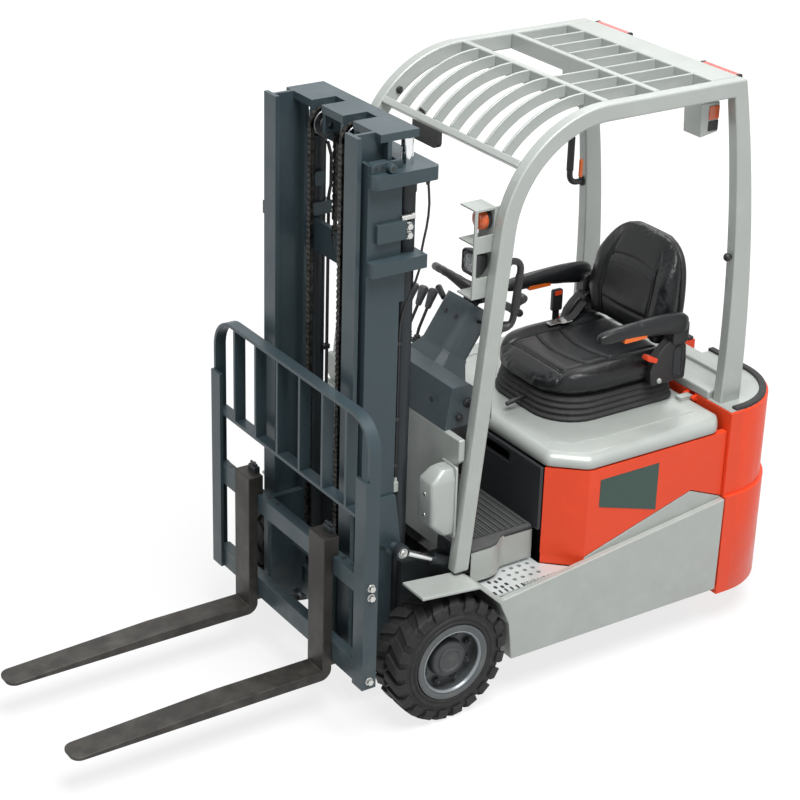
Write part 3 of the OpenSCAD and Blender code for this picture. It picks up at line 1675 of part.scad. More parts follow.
chassis();
drive_axle();
drive_motors();
battery();
side_panels();
red_covers();
sweep_trims();
bay_panel_front();
counterweight();
tow_plates();
rear_deck();
deck_trim();
steps();
floor_plate();
floor_mat();
front_cowl();
side_pods();
dash();
levers();
pedals();
guard_sides();
guard_crossbars();
guard_bars();
lamp_brackets();
turn_lamps();
headlamps();
rear_lamps();
grab_handles();
mirror_back();
steering_wheel();
hood();
seat_base();
seat_cushion();
seat_backrest();
armrests();
seat_buckle();
steer_leg();
rear_rims();
rear_tyres();
rim_left();
tyre_left();
rim_right();
tyre_right();
mast_outer();
lift_barrels();
chain_anchors();
mast_inner();
lift_rods();
sheaves();
chain_tops();
chain_back_runs();
carriage();
carriage_rollers();
chain_front_runs();
backrest();
fork_left();
fork_right();
tilt_barrels();
tilt_rods();
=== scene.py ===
"""Looks of a three-wheel electric counterbalance forklift truck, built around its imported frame. Metres."""
import math

import bmesh
import bpy
from mathutils import Matrix, Vector
from mathutils.bvhtree import BVHTree


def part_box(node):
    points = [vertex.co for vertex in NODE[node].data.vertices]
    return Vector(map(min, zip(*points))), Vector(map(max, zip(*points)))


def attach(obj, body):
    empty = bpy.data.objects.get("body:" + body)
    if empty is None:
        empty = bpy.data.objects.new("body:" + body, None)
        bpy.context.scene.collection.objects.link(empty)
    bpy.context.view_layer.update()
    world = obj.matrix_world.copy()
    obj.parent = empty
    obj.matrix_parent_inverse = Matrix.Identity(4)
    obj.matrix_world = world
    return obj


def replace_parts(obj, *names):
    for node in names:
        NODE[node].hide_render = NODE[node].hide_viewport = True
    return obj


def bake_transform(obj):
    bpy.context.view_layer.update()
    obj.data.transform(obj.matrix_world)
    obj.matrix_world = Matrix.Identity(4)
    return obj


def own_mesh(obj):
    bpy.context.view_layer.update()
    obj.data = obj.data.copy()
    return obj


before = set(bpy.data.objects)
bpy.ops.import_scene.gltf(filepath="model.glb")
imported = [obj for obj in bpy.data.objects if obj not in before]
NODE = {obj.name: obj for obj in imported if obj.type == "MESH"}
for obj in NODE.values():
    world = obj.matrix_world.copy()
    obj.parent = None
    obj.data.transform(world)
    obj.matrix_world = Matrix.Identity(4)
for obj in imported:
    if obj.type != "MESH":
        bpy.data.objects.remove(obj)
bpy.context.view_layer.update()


# Procedural materials

def add_node(tree, kind, inputs, **properties):
    """A shader node whose inputs are numbers, colours or other nodes' sockets."""
    made = tree.nodes.new(kind)
    for key, value in properties.items():
        setattr(made, key, value)
    for key, value in inputs.items():
        if isinstance(value, bpy.types.NodeSocket):
            tree.links.new(value, made.inputs[key])
        else:
            made.inputs[key].default_value = value
    return made


class Finish:
    """A Principled material whose textures are placed in the object's own metres."""

    def __init__(self, name, colour, rough, metal=0.0, slot=None):
        self.slot = slot or name
        self.mat = bpy.data.materials.new(name)
        self.mat.use_nodes = True
        self.tree = self.mat.node_tree
        self.shader = self.tree.nodes["Principled BSDF"]
        self.place = self.tree.nodes.new("ShaderNodeTexCoord").outputs["Object"]
        self.colour = (*colour, 1.0)
        self.set("Base Color", self.colour)
        self.set("Roughness", rough)
        self.set("Metallic", metal)
        self.relief = None

    def set(self, socket, value):
        self.shader.inputs[socket].default_value = value
        return self

    def link(self, source, target):
        self.tree.links.new(source, target)

    def node(self, kind, inputs=None, **properties):
        return add_node(self.tree, kind, inputs or {}, **properties)

    def stretched(self, factors):
        return self.node("ShaderNodeMapping", {"Vector": self.place, "Scale": factors}).outputs["Vector"]

    def noise(self, scale, detail=3.0, rough=0.55, vector=None):
        values = {"Vector": vector or self.place, "Scale": scale, "Detail": detail, "Roughness": rough}
        return self.node("ShaderNodeTexNoise", values).outputs["Fac"]

    def cells(self, scale, feature="F1", vector=None):
        values = {"Vector": vector or self.place, "Scale": scale}
        return self.node("ShaderNodeTexVoronoi", values, feature=feature).outputs["Distance"]

    def remap(self, source, low, high, out_low, out_high):
        values = {"Value": source, "From Min": low, "From Max": high, "To Min": out_low, "To Max": out_high}
        return self.node("ShaderNodeMapRange", values).outputs["Result"]

    def math(self, operation, a, b):
        made = self.node("ShaderNodeMath", {0: a, 1: b}, operation=operation)
        return made.outputs["Value"]

    def tint(self, mask, colour, amount=1.0):
        """Mixes another colour in where the mask says."""
        share = self.math("MULTIPLY", mask, amount)
        base = self.shader.inputs["Base Color"]
        made = self.node("ShaderNodeMix", {0: share, 7: (*colour, 1.0)}, data_type="RGBA")
        if base.is_linked:
            self.link(base.links[0].from_socket, made.inputs[6])
        else:
            made.inputs[6].default_value = self.colour
        self.link(made.outputs[2], base)
        return self

    def vary(self, amount, scale=4.0):
        """Lighter and darker clouds of the colour."""
        dark = tuple(c * (1 - amount) for c in self.colour[:3])
        light = tuple(min(1.0, c * (1 + amount)) for c in self.colour[:3])
        self.tint(self.remap(self.noise(scale, 4), 0.35, 0.7, 0, 1), dark, 0.8)
        return self.tint(self.remap(self.noise(scale * 3.7, 3), 0.52, 0.8, 0, 1), light, 0.7)

    def gloss(self, low, high, scale=9.0):
        """Roughness that changes over the surface."""
        self.link(self.remap(self.noise(scale, 4), 0.3, 0.7, low, high), self.shader.inputs["Roughness"])
        return self

    def bump(self, height, depth, strength=1.0):
        values = {"Height": height, "Distance": depth, "Strength": strength}
        made = self.node("ShaderNodeBump", values)
        if self.relief is not None:
            self.link(self.relief, made.inputs["Normal"])
        self.relief = made.outputs["Normal"]
        self.link(self.relief, self.shader.inputs["Normal"])
        return self


DUST = (0.25, 0.23, 0.2)


def paint(name, colour, rough, metal=0.0, coat=0.0, dust_share=0.12, slot=None):
    """Sprayed paint: orange peel, faint clouds, and road dust near the ground."""
    made = Finish(name, colour, rough, metal, slot).vary(0.07).gloss(rough * 0.82, rough * 1.25)
    height = made.node("ShaderNodeSeparateXYZ", {0: made.place}).outputs["Z"]
    low = made.remap(height, 0.1, 0.6, 1, 0)
    patches = made.remap(made.noise(14, 5), 0.4, 0.75, 0, 1)
    made.tint(made.math("MULTIPLY", low, patches), DUST, dust_share * 2)
    specks = made.remap(made.noise(160, 2), 0.7, 0.78, 0, 1)
    made.tint(specks, DUST, dust_share)
    made.set("Coat Weight", coat).set("Coat Roughness", 0.12)
    return made.bump(made.noise(520, 2), 0.0004, 0.22)


def plastic(name, colour, rough, grain=900.0, slot=None):
    """Moulded plastic with a fine pebbled skin."""
    made = Finish(name, colour, rough, slot=slot).vary(0.08, 6).gloss(rough * 0.88, rough * 1.12, 20)
    made.tint(made.remap(made.noise(40, 5), 0.62, 0.8, 0, 1), (0.2, 0.2, 0.2), 0.06)
    return made.bump(made.cells(grain), 0.0003, 0.35)


def rubber(name, colour, rough, slot=None):
    """Dull rubber with dust in its pores."""
    made = Finish(name, colour, rough, slot=slot).vary(0.15, 12)
    made.tint(made.remap(made.noise(30, 6), 0.5, 0.8, 0, 1), (0.1, 0.096, 0.088), 0.22)
    return made.bump(made.noise(350, 4), 0.0006, 0.4)


def metal(name, colour, rough, brush=(1, 1, 1), oil=0.0, slot=None):
    """Bare steel with brush marks and a film of oil."""
    made = Finish(name, colour, rough, 1.0, slot).vary(0.1, 18).gloss(rough * 0.7, rough * 1.4, 30)
    if oil:
        made.tint(made.remap(made.noise(45, 4), 0.4, 0.65, 0, 1), (0.012, 0.011, 0.01), oil)
    return made.bump(made.noise(300, 3, vector=made.stretched(brush)), 0.0003, 0.3)


def leather_cloth(name, colour):
    """Seat vinyl: a leather grain of fine cells, with soft creases."""
    made = Finish(name, colour, 0.36).vary(0.12, 10).gloss(0.28, 0.42, 25)
    made.bump(made.cells(420, "SMOOTH_F1"), 0.0006, 0.5)
    made.bump(made.noise(24, 5), 0.003, 0.12)
    return made.set("Specular IOR Level", 0.38)


def lens(name, colour, clear=0.35, ribs=260.0):
    """Moulded lamp lens with prisms behind its skin."""
    made = Finish(name, colour, 0.12).vary(0.1, 40)
    made.set("Transmission Weight", clear).set("IOR", 1.49).set("Coat Weight", 0.6)
    return made.bump(made.cells(ribs), 0.001, 0.25)


SILVER = paint("silver_paint", (0.43, 0.457, 0.432), 0.38, 0.2, 0.1)
RED = paint("red_paint", (0.85, 0.072, 0.022), 0.36, 0.0, 0.1, 0.03).set("Specular IOR Level", 0.2)
SLATE = paint("mast_paint", (0.045, 0.068, 0.079), 0.38, 0.1, 0.1).set("Specular IOR Level", 0.3)
FRAME_PAINT = paint("frame_paint", (0.020, 0.025, 0.029), 0.45, 0.0, 0.1).set("Specular IOR Level", 0.3)
RIM_PAINT = paint("rim_paint", (0.085, 0.095, 0.10), 0.42, 0.15, 0.1)
FORK_STEEL = paint("fork_steel", (0.024, 0.022, 0.019), 0.5, 0.2, 0.0)
FORK_STEEL.tint(FORK_STEEL.remap(FORK_STEEL.noise(9, 6, 0.7), 0.55, 0.72, 0, 1), (0.06, 0.05, 0.04), 0.4)
# the steps' finish is the body's silver paint painted lighter: painted light for what the step plates
# reflect
STEP_LIT_SILVER = paint("step_lit_silver", (0.60, 0.64, 0.63), 0.34, 0.25, 0.0, 0.05, "silver_paint")
CAST = paint("cast", (0.05, 0.055, 0.06), 0.55, 0.2, 0.0)
DASH = plastic("dash_plastic", (0.055, 0.075, 0.085), 0.5)
# dark_panel also stands for painted shade in the holes, notches and step slots
DARK = plastic("dark_panel", (0.022, 0.025, 0.028), 0.5)
BLACK = plastic("black_plastic", (0.014, 0.014, 0.016), 0.42)
GREY = plastic("grey_knob", (0.075, 0.075, 0.08), 0.5, slot="black_plastic")
RUBBER = rubber("black_rubber", (0.024, 0.024, 0.025), 0.75)
MAT = rubber("mat_rubber", (0.070, 0.072, 0.072), 0.75, slot="black_rubber")
TYRE = rubber("tyre", (0.008, 0.008, 0.0084), 0.7)
VINYL = leather_cloth("vinyl", (0.010, 0.0108, 0.012))
CHROME = metal("chrome", (0.8, 0.81, 0.82), 0.14, (1, 1, 0.05))
STEEL = metal("zinc_steel", (0.62, 0.62, 0.6), 0.32, slot="chrome")
CHAIN = metal("chain_steel", (0.075, 0.073, 0.07), 0.4, oil=0.7)
AMBER = lens("amber", (0.80, 0.115, 0.008), 0.15)
MARKER = plastic("orange_marker", (0.9, 0.16, 0.012), 0.35, slot="amber")
RED_LENS = lens("red_lens", (0.62, 0.03, 0.012), 0.15)
CLEAR = lens("lens", (0.82, 0.84, 0.85), 0.9)
# the rim paint painted lighter: a painted highlight on the round bead of the lip
RIM_LIP_HIGHLIGHT = paint("rim_lip_highlight", (0.24, 0.27, 0.285), 0.34, 0.35, 0.2, slot="rim_paint")
SHEAVE = metal("sheave_steel", (0.16, 0.165, 0.17), 0.38, oil=0.35, slot="chain_steel")
MIRROR = metal("mirror_glass", (0.85, 0.87, 0.88), 0.05, slot="chrome")
BADGE = plastic("badge_plate", (0.02, 0.06, 0.045), 0.3, slot="dark_panel")

NODE_FINISH = {
    STEP_LIT_SILVER: ("steps",),
    SILVER: ("side_panels", "sweep_trims", "rear_deck", "front_cowl", "side_pods", "guard_sides",
             "guard_crossbars", "guard_bars", "lamp_brackets", "hood"),
    RED: ("red_covers", "counterweight"),
    SLATE: ("mast_outer", "mast_inner", "carriage", "backrest"),
    FRAME_PAINT: ("chassis", "floor_plate", "lift_barrels", "tilt_barrels", "tow_plates"),
    CAST: ("drive_axle", "drive_motors", "steer_leg"),
    DARK: ("battery", "bay_panel_front"),
    RUBBER: ("deck_trim", "pedals"),
    MAT: ("floor_mat",),
    DASH: ("dash",),
    BLACK: ("levers", "headlamps", "grab_handles", "mirror_back", "steering_wheel", "seat_base",
            "seat_buckle"),
    VINYL: ("seat_cushion", "seat_backrest", "armrests"),
    RIM_PAINT: ("rear_rims", "rim_left", "rim_right"),
    TYRE: ("rear_tyres", "tyre_left", "tyre_right"),
    CHROME: ("lift_rods", "tilt_rods"),
    STEEL: ("chain_anchors", "sheaves", "carriage_rollers"),
    CHAIN: ("chain_tops", "chain_back_runs", "chain_front_runs"),
    FORK_STEEL: ("fork_left", "fork_right"),
    AMBER: ("turn_lamps",),
    RED_LENS: ("rear_lamps",),
}
# rounding of the edges of the solids that show, by node
NODE_EDGE = {
    "side_panels": 0.004, "red_covers": 0.006, "sweep_trims": 0.004, "bay_panel_front": 0.003,
    "counterweight": 0.010, "rear_deck": 0.010, "deck_trim": 0.004, "floor_plate": 0.002,
    "front_cowl": 0.007, "side_pods": 0.012, "dash": 0.012, "guard_sides": 0.007,
    "guard_crossbars": 0.005, "guard_bars": 0.0025, "lamp_brackets": 0.0012, "chassis": 0.003,
    "hood": 0.016, "mast_outer": 0.003, "mast_inner": 0.003, "carriage": 0.004, "fork_left": 0.003,
    "fork_right": 0.003, "steer_leg": 0.003, "tow_plates": 0.003, "drive_axle": 0.003,
    "drive_motors": 0.004, "tilt_barrels": 0.002, "battery": 0.006, "pedals": 0.004,
    "floor_mat": 0.003, "headlamps": 0.006, "mirror_back": 0.01, "rear_lamps": 0.006,
}
EDGE_ANGLE = math.radians(32)


def round_edges(piece, width, segments=3):
    edge = piece.modifiers.new("edge", "BEVEL")
    edge.width = width
    edge.segments = segments
    edge.limit_method = "ANGLE"
    edge.angle_limit = EDGE_ANGLE
    edge.harden_normals = True
    edge.use_clamp_overlap = True


def finish_node(name, finish):
    """Gives a solid its finish and, where it shows, rounded edges."""
    piece = NODE[name]
    piece.data.materials.clear()
    piece.data.materials.append(finish.mat)
    if name in NODE_EDGE:
        weld = piece.modifiers.new("weld", "WELD")
        weld.merge_threshold = 0.00002
        flat = piece.modifiers.new("flat", "DECIMATE")
        flat.decimate_type = "DISSOLVE"
        flat.angle_limit = math.radians(0.5)
        round_edges(piece, NODE_EDGE[name])


for node_finish, node_names in NODE_FINISH.items():
    for node_name in node_names:
        finish_node(node_name, node_finish)


# Mesh building

def square_axes(direction):
    """Two unit vectors square to a direction and to each other."""
    along = Vector(direction).normalized()
    helper = Vector((0, 0, 1)) if abs(along.z) < 0.9 else Vector((1, 0, 0))
    across = helper.cross(along).normalized()
    return across, along.cross(across)


def circle(at, across, up, radius, sides):
    turns = [2 * math.pi * i / sides for i in range(sides)]
    return [at + across * (radius * math.cos(t)) + up * (radius * math.sin(t)) for t in turns]


def arc(centre, radius, start, end, steps=6):
    """Points of an arc in a plane, its angles in degrees."""
    turns = [math.radians(start + (end - start) * i / steps) for i in range(steps + 1)]
    return [(centre[0] + radius * math.cos(t), centre[1] + radius * math.sin(t)) for t in turns]


def round_rect(low, high, radius, steps=5):
    """Outline of a rectangle with round corners."""
    corners = ((high[0] - radius, high[1] - radius, 0), (low[0] + radius, high[1] - radius, 90),
               (low[0] + radius, low[1] + radius, 180), (high[0] - radius, low[1] + radius, 270))
    return [p for x, y, start in corners for p in arc((x, y), radius, start, start + 90, steps)]


def smooth(value, low, high):
    """0 below low, 1 above high, and an easy slope between."""
    t = max(0.0, min(1.0, (value - low) / (high - low)))
    return t * t * (3 - 2 * t)


X, Y, Z = (1, 0, 0), (0, 1, 0), (0, 0, 1)
PLANES = {"x": lambda a, b, t: (t, a, b), "y": lambda a, b, t: (a, t, b), "z": lambda a, b, t: (a, b, t)}


def dress(name, mesh, body, finish, edge=0.0, segments=2):
    """Makes a mesh a piece that rides on a body."""
    piece = bpy.data.objects.new(name, mesh)
    bpy.context.scene.collection.objects.link(piece)
    mesh.materials.append(finish.mat)
    if edge:
        round_edges(piece, edge, segments)
    if body:
        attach(piece, body)
    return piece


class Shape:
    """One piece's mesh, put together from simple forms."""

    def __init__(self):
        self.bm = bmesh.new()

    def loft(self, rings, loop=False, caps=True):
        """Skins a row of rings of points; a loop joins the last ring to the first."""
        rows = [[self.bm.verts.new(point) for point in ring] for ring in rings]
        followers = rows[1:] + (rows[:1] if loop else [])
        count = len(rows[0])
        for a, b in zip(rows, followers):
            for i in range(count):
                j = (i + 1) % count
                self.bm.faces.new((a[i], a[j], b[j], b[i]))
        if caps and not loop:
            self.bm.faces.new(rows[0][::-1])
            self.bm.faces.new(rows[-1])
        return self

    def rod(self, start, end, radius, end_radius=None, sides=20):
        start, end = Vector(start), Vector(end)
        across, up = square_axes(end - start)
        last = radius if end_radius is None else end_radius
        return self.loft([circle(at, across, up, r, sides) for at, r in ((start, radius), (end, last))])

    def lathe(self, profile, at, axis, sides=48, loop=False):
        """Turns a profile of (place along the axis, radius) points about the axis."""
        at, along = Vector(at), Vector(axis).normalized()
        across, up = square_axes(along)
        return self.loft([circle(at + along * step, across, up, r, sides) for step, r in profile], loop)

    def tube(self, path, radius, sides=10, loop=False):
        """Sweeps a round section along a path."""
        path = [Vector(point) for point in path]
        last = len(path) - 1
        across = None
        rings = []
        for i, at in enumerate(path):
            before = path[i - 1] if i or loop else at
            after = path[(i + 1) % len(path)] if i < last or loop else at
            along = (after - before).normalized()
            across = across or square_axes(along)[0]
            across = (across - along * across.dot(along)).normalized()
            rings.append(circle(at, across, along.cross(across), radius, sides))
        return self.loft(rings, loop)

    def prism(self, outline, low, high, axis):
        """Pushes a flat outline from low to high along x, y or z."""
        put = PLANES[axis]
        return self.loft([[Vector(put(a, b, t)) for a, b in outline] for t in (low, high)])

    def slab(self, low, high, radius, start, end, axis):
        """Pushes a rectangle with round corners from start to end along x, y or z."""
        return self.prism(round_rect(low, high, radius), start, end, axis)

    def box(self, low, high):
        sides = [(low[0], low[1]), (high[0], low[1]), (high[0], high[1]), (low[0], high[1])]
        return self.prism(sides, low[2], high[2], "z")

    def bolt(self, at, axis, size):
        """A hexagon head on its washer, with its size across the flats."""
        at, along = Vector(at), Vector(axis).normalized()
        seat = at + along * (size * 0.14)
        self.rod(at, seat, size * 0.72, sides=24)
        return self.rod(seat, at + along * (size * 0.7), size * 0.577, sides=6)

    def turned(self, angle, about, axis):
        """Turns all that has been added so far, the angle in degrees."""
        turn = Matrix.Rotation(math.radians(angle), 3, Vector(axis))
        bmesh.ops.rotate(self.bm, cent=Vector(about), matrix=turn, verts=self.bm.verts[:])
        return self

    def mirrored(self, about=0.0):
        """Adds the same forms on the other side of a middle plane."""
        copy = bmesh.ops.duplicate(self.bm, geom=self.bm.verts[:] + self.bm.edges[:] + self.bm.faces[:])
        others = [v for v in copy["geom"] if isinstance(v, bmesh.types.BMVert)]
        for vertex in others:
            vertex.co.y = 2 * about - vertex.co.y
        return self

    def mesh(self, name, sharp=40):
        bmesh.ops.recalc_face_normals(self.bm, faces=self.bm.faces[:])
        mesh = bpy.data.meshes.new(name)
        self.bm.to_mesh(mesh)
        self.bm.free()
        mesh.shade_smooth()
        mesh.set_sharp_from_angle(angle=math.radians(sharp))
        return mesh

    def done(self, name, body, finish, edge=0.0, segments=2, sharp=40):
        return dress(name, self.mesh(name, sharp), body, finish, edge, segments)


# Seat: cushion, back, armrests and the base under them

VOXEL = 0.006
CLOTH_PRESSURE = 2.5
CLOTH_FRAMES = 12
SWELL_CAP = 0.005
SECTION_POINTS = 44


def super_ring(put, wide, tall, power):
    """Points of a rounded box section, each placed by put(across, up)."""
    points = []
    for i in range(SECTION_POINTS):
        turn = 2 * math.pi * i / SECTION_POINTS
        c, s = math.cos(turn), math.sin(turn)
        across = math.copysign(abs(c) ** (2 / power), c) * wide
        up = math.copysign(abs(s) ** (2 / power), s) * tall
        points.append(put(across, up))
    return points


def stations(count, reach=0.985):
    return [-reach + 2 * reach * i / (count - 1) for i in range(count)]


def ended(s, power):
    """How much of its full width a form keeps towards its round ends at s = -1 and 1."""
    return (1 - abs(s) ** power) ** (1 / power)


def pad(name, rings):
    """A closed form skinned over rings and cut into an even net of small faces."""
    piece = dress(name, Shape().loft(rings).mesh(name), None, VINYL)
    remesh = piece.modifiers.new("net", "REMESH")
    remesh.mode = "VOXEL"
    remesh.voxel_size = VOXEL
    remesh.use_smooth_shade = True
    evaluated = piece.evaluated_get(bpy.context.evaluated_depsgraph_get())
    net = bpy.data.meshes.new_from_object(evaluated)
    piece.modifiers.clear()
    piece.data = net
    net.materials.clear()
    net.materials.append(VINYL.mat)
    return piece


def swell(pads):
    """Fills the pads with air as cloth, caps how far each point goes, and keeps the result."""
    scene = bpy.context.scene
    for piece in pads:
        cloth = piece.modifiers.new("cloth", "CLOTH")
        cloth.settings.use_pressure = True
        cloth.settings.uniform_pressure_force = CLOTH_PRESSURE
        cloth.settings.effector_weights.gravity = 0.0
        cloth.settings.quality = 4
    for number in range(1, CLOTH_FRAMES + 1):
        scene.frame_set(number)
    graph = bpy.context.evaluated_depsgraph_get()
    for piece in pads:
        blown = [v.co.copy() for v in piece.evaluated_get(graph).data.vertices]
        piece.modifiers.clear()
        for vertex, target in zip(piece.data.vertices, blown):
            move = target - vertex.co
            vertex.co += move * min(1.0, SWELL_CAP / max(move.length, 1e-9))
    scene.frame_set(1)


def press(piece, facing, depth_at):
    """Pushes the faces that look one way in by the depth given for each point."""
    normals = [vertex.normal.copy() for vertex in piece.data.vertices]
    for vertex, normal in zip(piece.data.vertices, normals):
        if normal.dot(facing) > 0.25:
            vertex.co -= normal * depth_at(vertex.co)


def groove(distance, depth, half=0.006):
    return depth * math.exp(-(distance / half) ** 2)


def settle(piece, body, node):
    """Last steps for a pad: one subdivision, its body and what it stands for."""
    finer = piece.modifiers.new("finer", "SUBSURF")
    finer.levels = finer.render_levels = 1
    piece.data.shade_smooth()
    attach(piece, body)
    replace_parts(piece, node)


def laid_on(piece, path, towards, lift=0.0008):
    """The path dropped on to a piece's surface."""
    mesh = piece.data
    tree = BVHTree.FromPolygons([v.co for v in mesh.vertices], [p.vertices for p in mesh.polygons])
    hits = [tree.ray_cast(Vector(p) - towards * 0.4, towards)[0] for p in path]
    return [hit - towards * lift for hit in hits if hit is not None]


PIPING = 0.0026
# the height that the cushion's piping is dropped from
ABOVE_SEAT = 1.2
cushion_low, cushion_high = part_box("seat_cushion")
CUSHION_MID = (cushion_low + cushion_high) / 2
CUSHION_HALF = (cushion_high - cushion_low) / 2
SEAT_Y = CUSHION_MID.y
BOLSTER_RISE = 0.018
FRONT_DROP = 0.030
PANEL_HALF = 0.150
FRONT_SEAM = cushion_high.x - 0.085
CHANNELS = (0.165, 0.270)
CHANNEL_BOW = 0.030


def cushion_ring(s):
    tall = (CUSHION_HALF.z - SWELL_CAP) * ended(s, 8)
    wide = (CUSHION_HALF.y - SWELL_CAP) * ended(s, 2.8 if s > 0 else 6)
    drop = FRONT_DROP * smooth(s, 0.45, 1.0) ** 2

    def put(across, up):
        share = smooth(abs(across) / CUSHION_HALF.y, 0.5, 0.85)
        crown = (BOLSTER_RISE * share - BOLSTER_RISE * 0.7 - drop) * smooth(up, 0.0, tall)
        x = CUSHION_MID.x + s * (CUSHION_HALF.x - SWELL_CAP)
        return Vector((x, SEAT_Y + across, CUSHION_MID.z + up + crown))

    return super_ring(put, wide, tall, 5.0)


def channel_x(back, y):
    """Place of a sewn channel that bows towards the front in the middle."""
    return cushion_high.x - back - CHANNEL_BOW * (y / PANEL_HALF) ** 2


def cushion_seams(point):
    """Depth of the sewn lines: the panel's border and the channels across it."""
    aside = abs(point.y - SEAT_Y)
    if point.x > FRONT_SEAM:
        depth = groove(aside - PANEL_HALF - (point.x - FRONT_SEAM) * 0.55, 0.005)
    else:
        depth = groove(aside - PANEL_HALF, 0.007)
    if aside < PANEL_HALF:
        depth = max(depth, groove(point.x - FRONT_SEAM, 0.006))
        depth = max(depth, *(groove(point.x - channel_x(back, aside), 0.006) for back in CHANNELS))
    return depth


back_low, back_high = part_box("seat_backrest")
BACK_LEAN = math.radians(6)
BACK_UP = Vector((-math.sin(BACK_LEAN), 0, math.cos(BACK_LEAN)))
BACK_FACE = Vector((math.cos(BACK_LEAN), 0, math.sin(BACK_LEAN)))
BACK_TALL = (back_high.z - back_low.z) / math.cos(BACK_LEAN) - 0.012
BACK_FOOT = Vector((back_high.x - 0.1, SEAT_Y, back_low.z + 0.004))
BACK_HALF = (back_high.y - back_low.y) / 2
BACK_SEAM = 0.62
PATCH_LOW = 0.64


def back_width(t):
    """Half width of the back at a share of its height: full at the waist, arched over the top."""
    foot = 1 - 0.10 * (1 - smooth(t, 0.0, 0.35))
    shoulder = 1 - 0.16 * max(0.0, (t - 0.35) / 0.65) ** 1.6
    return BACK_HALF * foot * shoulder * (1 - t ** 9) ** (1 / 2.6)


def back_depth(t):
    """Thickness from the shell to the front of the pad."""
    return 0.088 + 0.012 * math.exp(-((t - 0.25) / 0.2) ** 2) - 0.042 * smooth(t, 0.55, 1.0)


def back_ring(t, inset=0.0, thick=None, behind=0.0):
    wide = back_width(t) - inset
    deep = ((thick or back_depth(t)) - SWELL_CAP) * (1 - t ** 22) ** 0.4
    foot = BACK_FOOT + BACK_UP * (t * BACK_TALL) - BACK_FACE * behind

    def put(across, out):
        wing = 0.022 * smooth(abs(across) / BACK_HALF, 0.5, 1.0) * (1 - smooth(t, 0.6, 0.95))
        forward = deep / 2 + out + (wing if out > 0 and thick is None else 0)
        return foot + Vector((0, across, 0)) + BACK_FACE * forward

    return super_ring(put, wide, deep / 2, 3.8)


def back_share(point):
    return (point - BACK_FOOT).dot(BACK_UP) / BACK_TALL


def patch_edge(y):
    return PATCH_LOW + 0.05 * (1 - (y / (BACK_SEAM * BACK_HALF)) ** 2)


def back_seams(point):
    t = back_share(point)
    aside = abs(point.y - SEAT_Y)
    border = BACK_SEAM * back_width(min(max(t, 0.0), 0.9))
    depth = groove(aside - border, 0.007 * (1 - smooth(t, 0.7, 0.9)))
    if aside < border:
        depth = max(depth, groove((t - patch_edge(aside)) * BACK_TALL, 0.006))
        depth = max(depth, groove((t - 0.2 - 0.03 * (aside / BACK_HALF) ** 2) * BACK_TALL, 0.004))
    return depth


arm_low, arm_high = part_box("armrests")
ARM_LONG = arm_high.x - arm_low.x
ARM_MID_X = (arm_low.x + arm_high.x) / 2
ARM_HALF = 0.026
ARM_SIDE = arm_high.y - SEAT_Y - ARM_HALF
ARM_TALL = 0.038


def arm_ring(s, side):
    """Section of a pad that is deep at the rear, slim at the front and arched over its length."""
    tall = ARM_TALL * ended(s, 5) * (1 - 0.30 * s) - 0.004
    wide = ARM_HALF * ended(s, 6) - 0.004
    height = arm_high.z - ARM_TALL * (1 - 0.30 * s) - 0.010 * s * s - 0.004 * (1 + s)

    def put(across, up):
        x = ARM_MID_X + s * (ARM_LONG / 2 - 0.004)
        return Vector((x, SEAT_Y + side * ARM_SIDE + across, height + up))

    return super_ring(put, wide, tall, 3.4)


def add_pads():
    cushion = pad("seat_cushion_pad", [cushion_ring(s) for s in stations(31)])
    back = pad("seat_back_pad", [back_ring(0.5 + s / 2) for s in stations(51, 0.998)])
    arms = [pad(f"armrest_pad_{word}", [arm_ring(s, side) for s in stations(25)])
            for word, side in (("left", 1), ("right", -1))]
    swell([cushion, back, *arms])
    for vertex in cushion.data.vertices:
        vertex.co.z = max(vertex.co.z, cushion_low.z + 0.001)
    press(cushion, Vector((0, 0, 1)), cushion_seams)
    press(back, BACK_FACE, back_seams)
    settle(cushion, "hood", "seat_cushion")
    settle(back, "hood", "seat_backrest")
    for arm in arms:
        settle(arm, "hood", "armrests")
    return cushion, back


def add_piping(cushion, back):
    """Cord sewn into the seams of the cushion and the back."""
    down = Vector((0, 0, -1))
    ups = [i / 24 for i in range(25)]
    rear = cushion_low.x + 0.03
    border = [(rear + (FRONT_SEAM - rear) * u, SEAT_Y + PANEL_HALF, ABOVE_SEAT) for u in ups]
    across = [(FRONT_SEAM, SEAT_Y + PANEL_HALF * (1 - 2 * u), ABOVE_SEAT) for u in ups[1:-1]]
    other = [(x, y - 2 * PANEL_HALF, z) for x, y, z in border[::-1]]
    shape = Shape().tube(laid_on(cushion, border + across + other, down), PIPING, 8)
    for distance in CHANNELS:
        sides = [PANEL_HALF * (0.94 - 1.88 * u) for u in ups]
        path = [(channel_x(distance, y), SEAT_Y + y, ABOVE_SEAT) for y in sides]
        shape.tube(laid_on(cushion, path, down), PIPING * 0.8, 8)
    for side in (-1, 1):
        path = [BACK_FOOT + BACK_UP * (BACK_TALL * t) + Vector((0.3, side * BACK_SEAM * back_width(t), 0))
                for t in [0.06 + 0.72 * u for u in ups]]
        shape.tube(laid_on(back, path, -BACK_FACE), PIPING, 8)
    half = BACK_SEAM * back_width(PATCH_LOW) * 0.97
    path = [BACK_FOOT + BACK_UP * (BACK_TALL * patch_edge(y)) + Vector((0.3, y, 0))
            for y in [half * (1 - 2 * u) for u in ups]]
    shape.tube(laid_on(back, path, -BACK_FACE), PIPING * 0.8, 8)
    shape.done("seat_piping", "hood", VINYL)


def add_seat_shell():
    """Moulded plastic shell that carries the back pad from behind."""
    rings = [back_ring(0.5 + s / 2, -0.002, 0.045, 0.008) for s in stations(31, 0.96)]
    Shape().loft(rings).done("seat_back_shell", "hood", BLACK)


BELLOWS_RIBS = 4
base_low, base_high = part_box("seat_base")


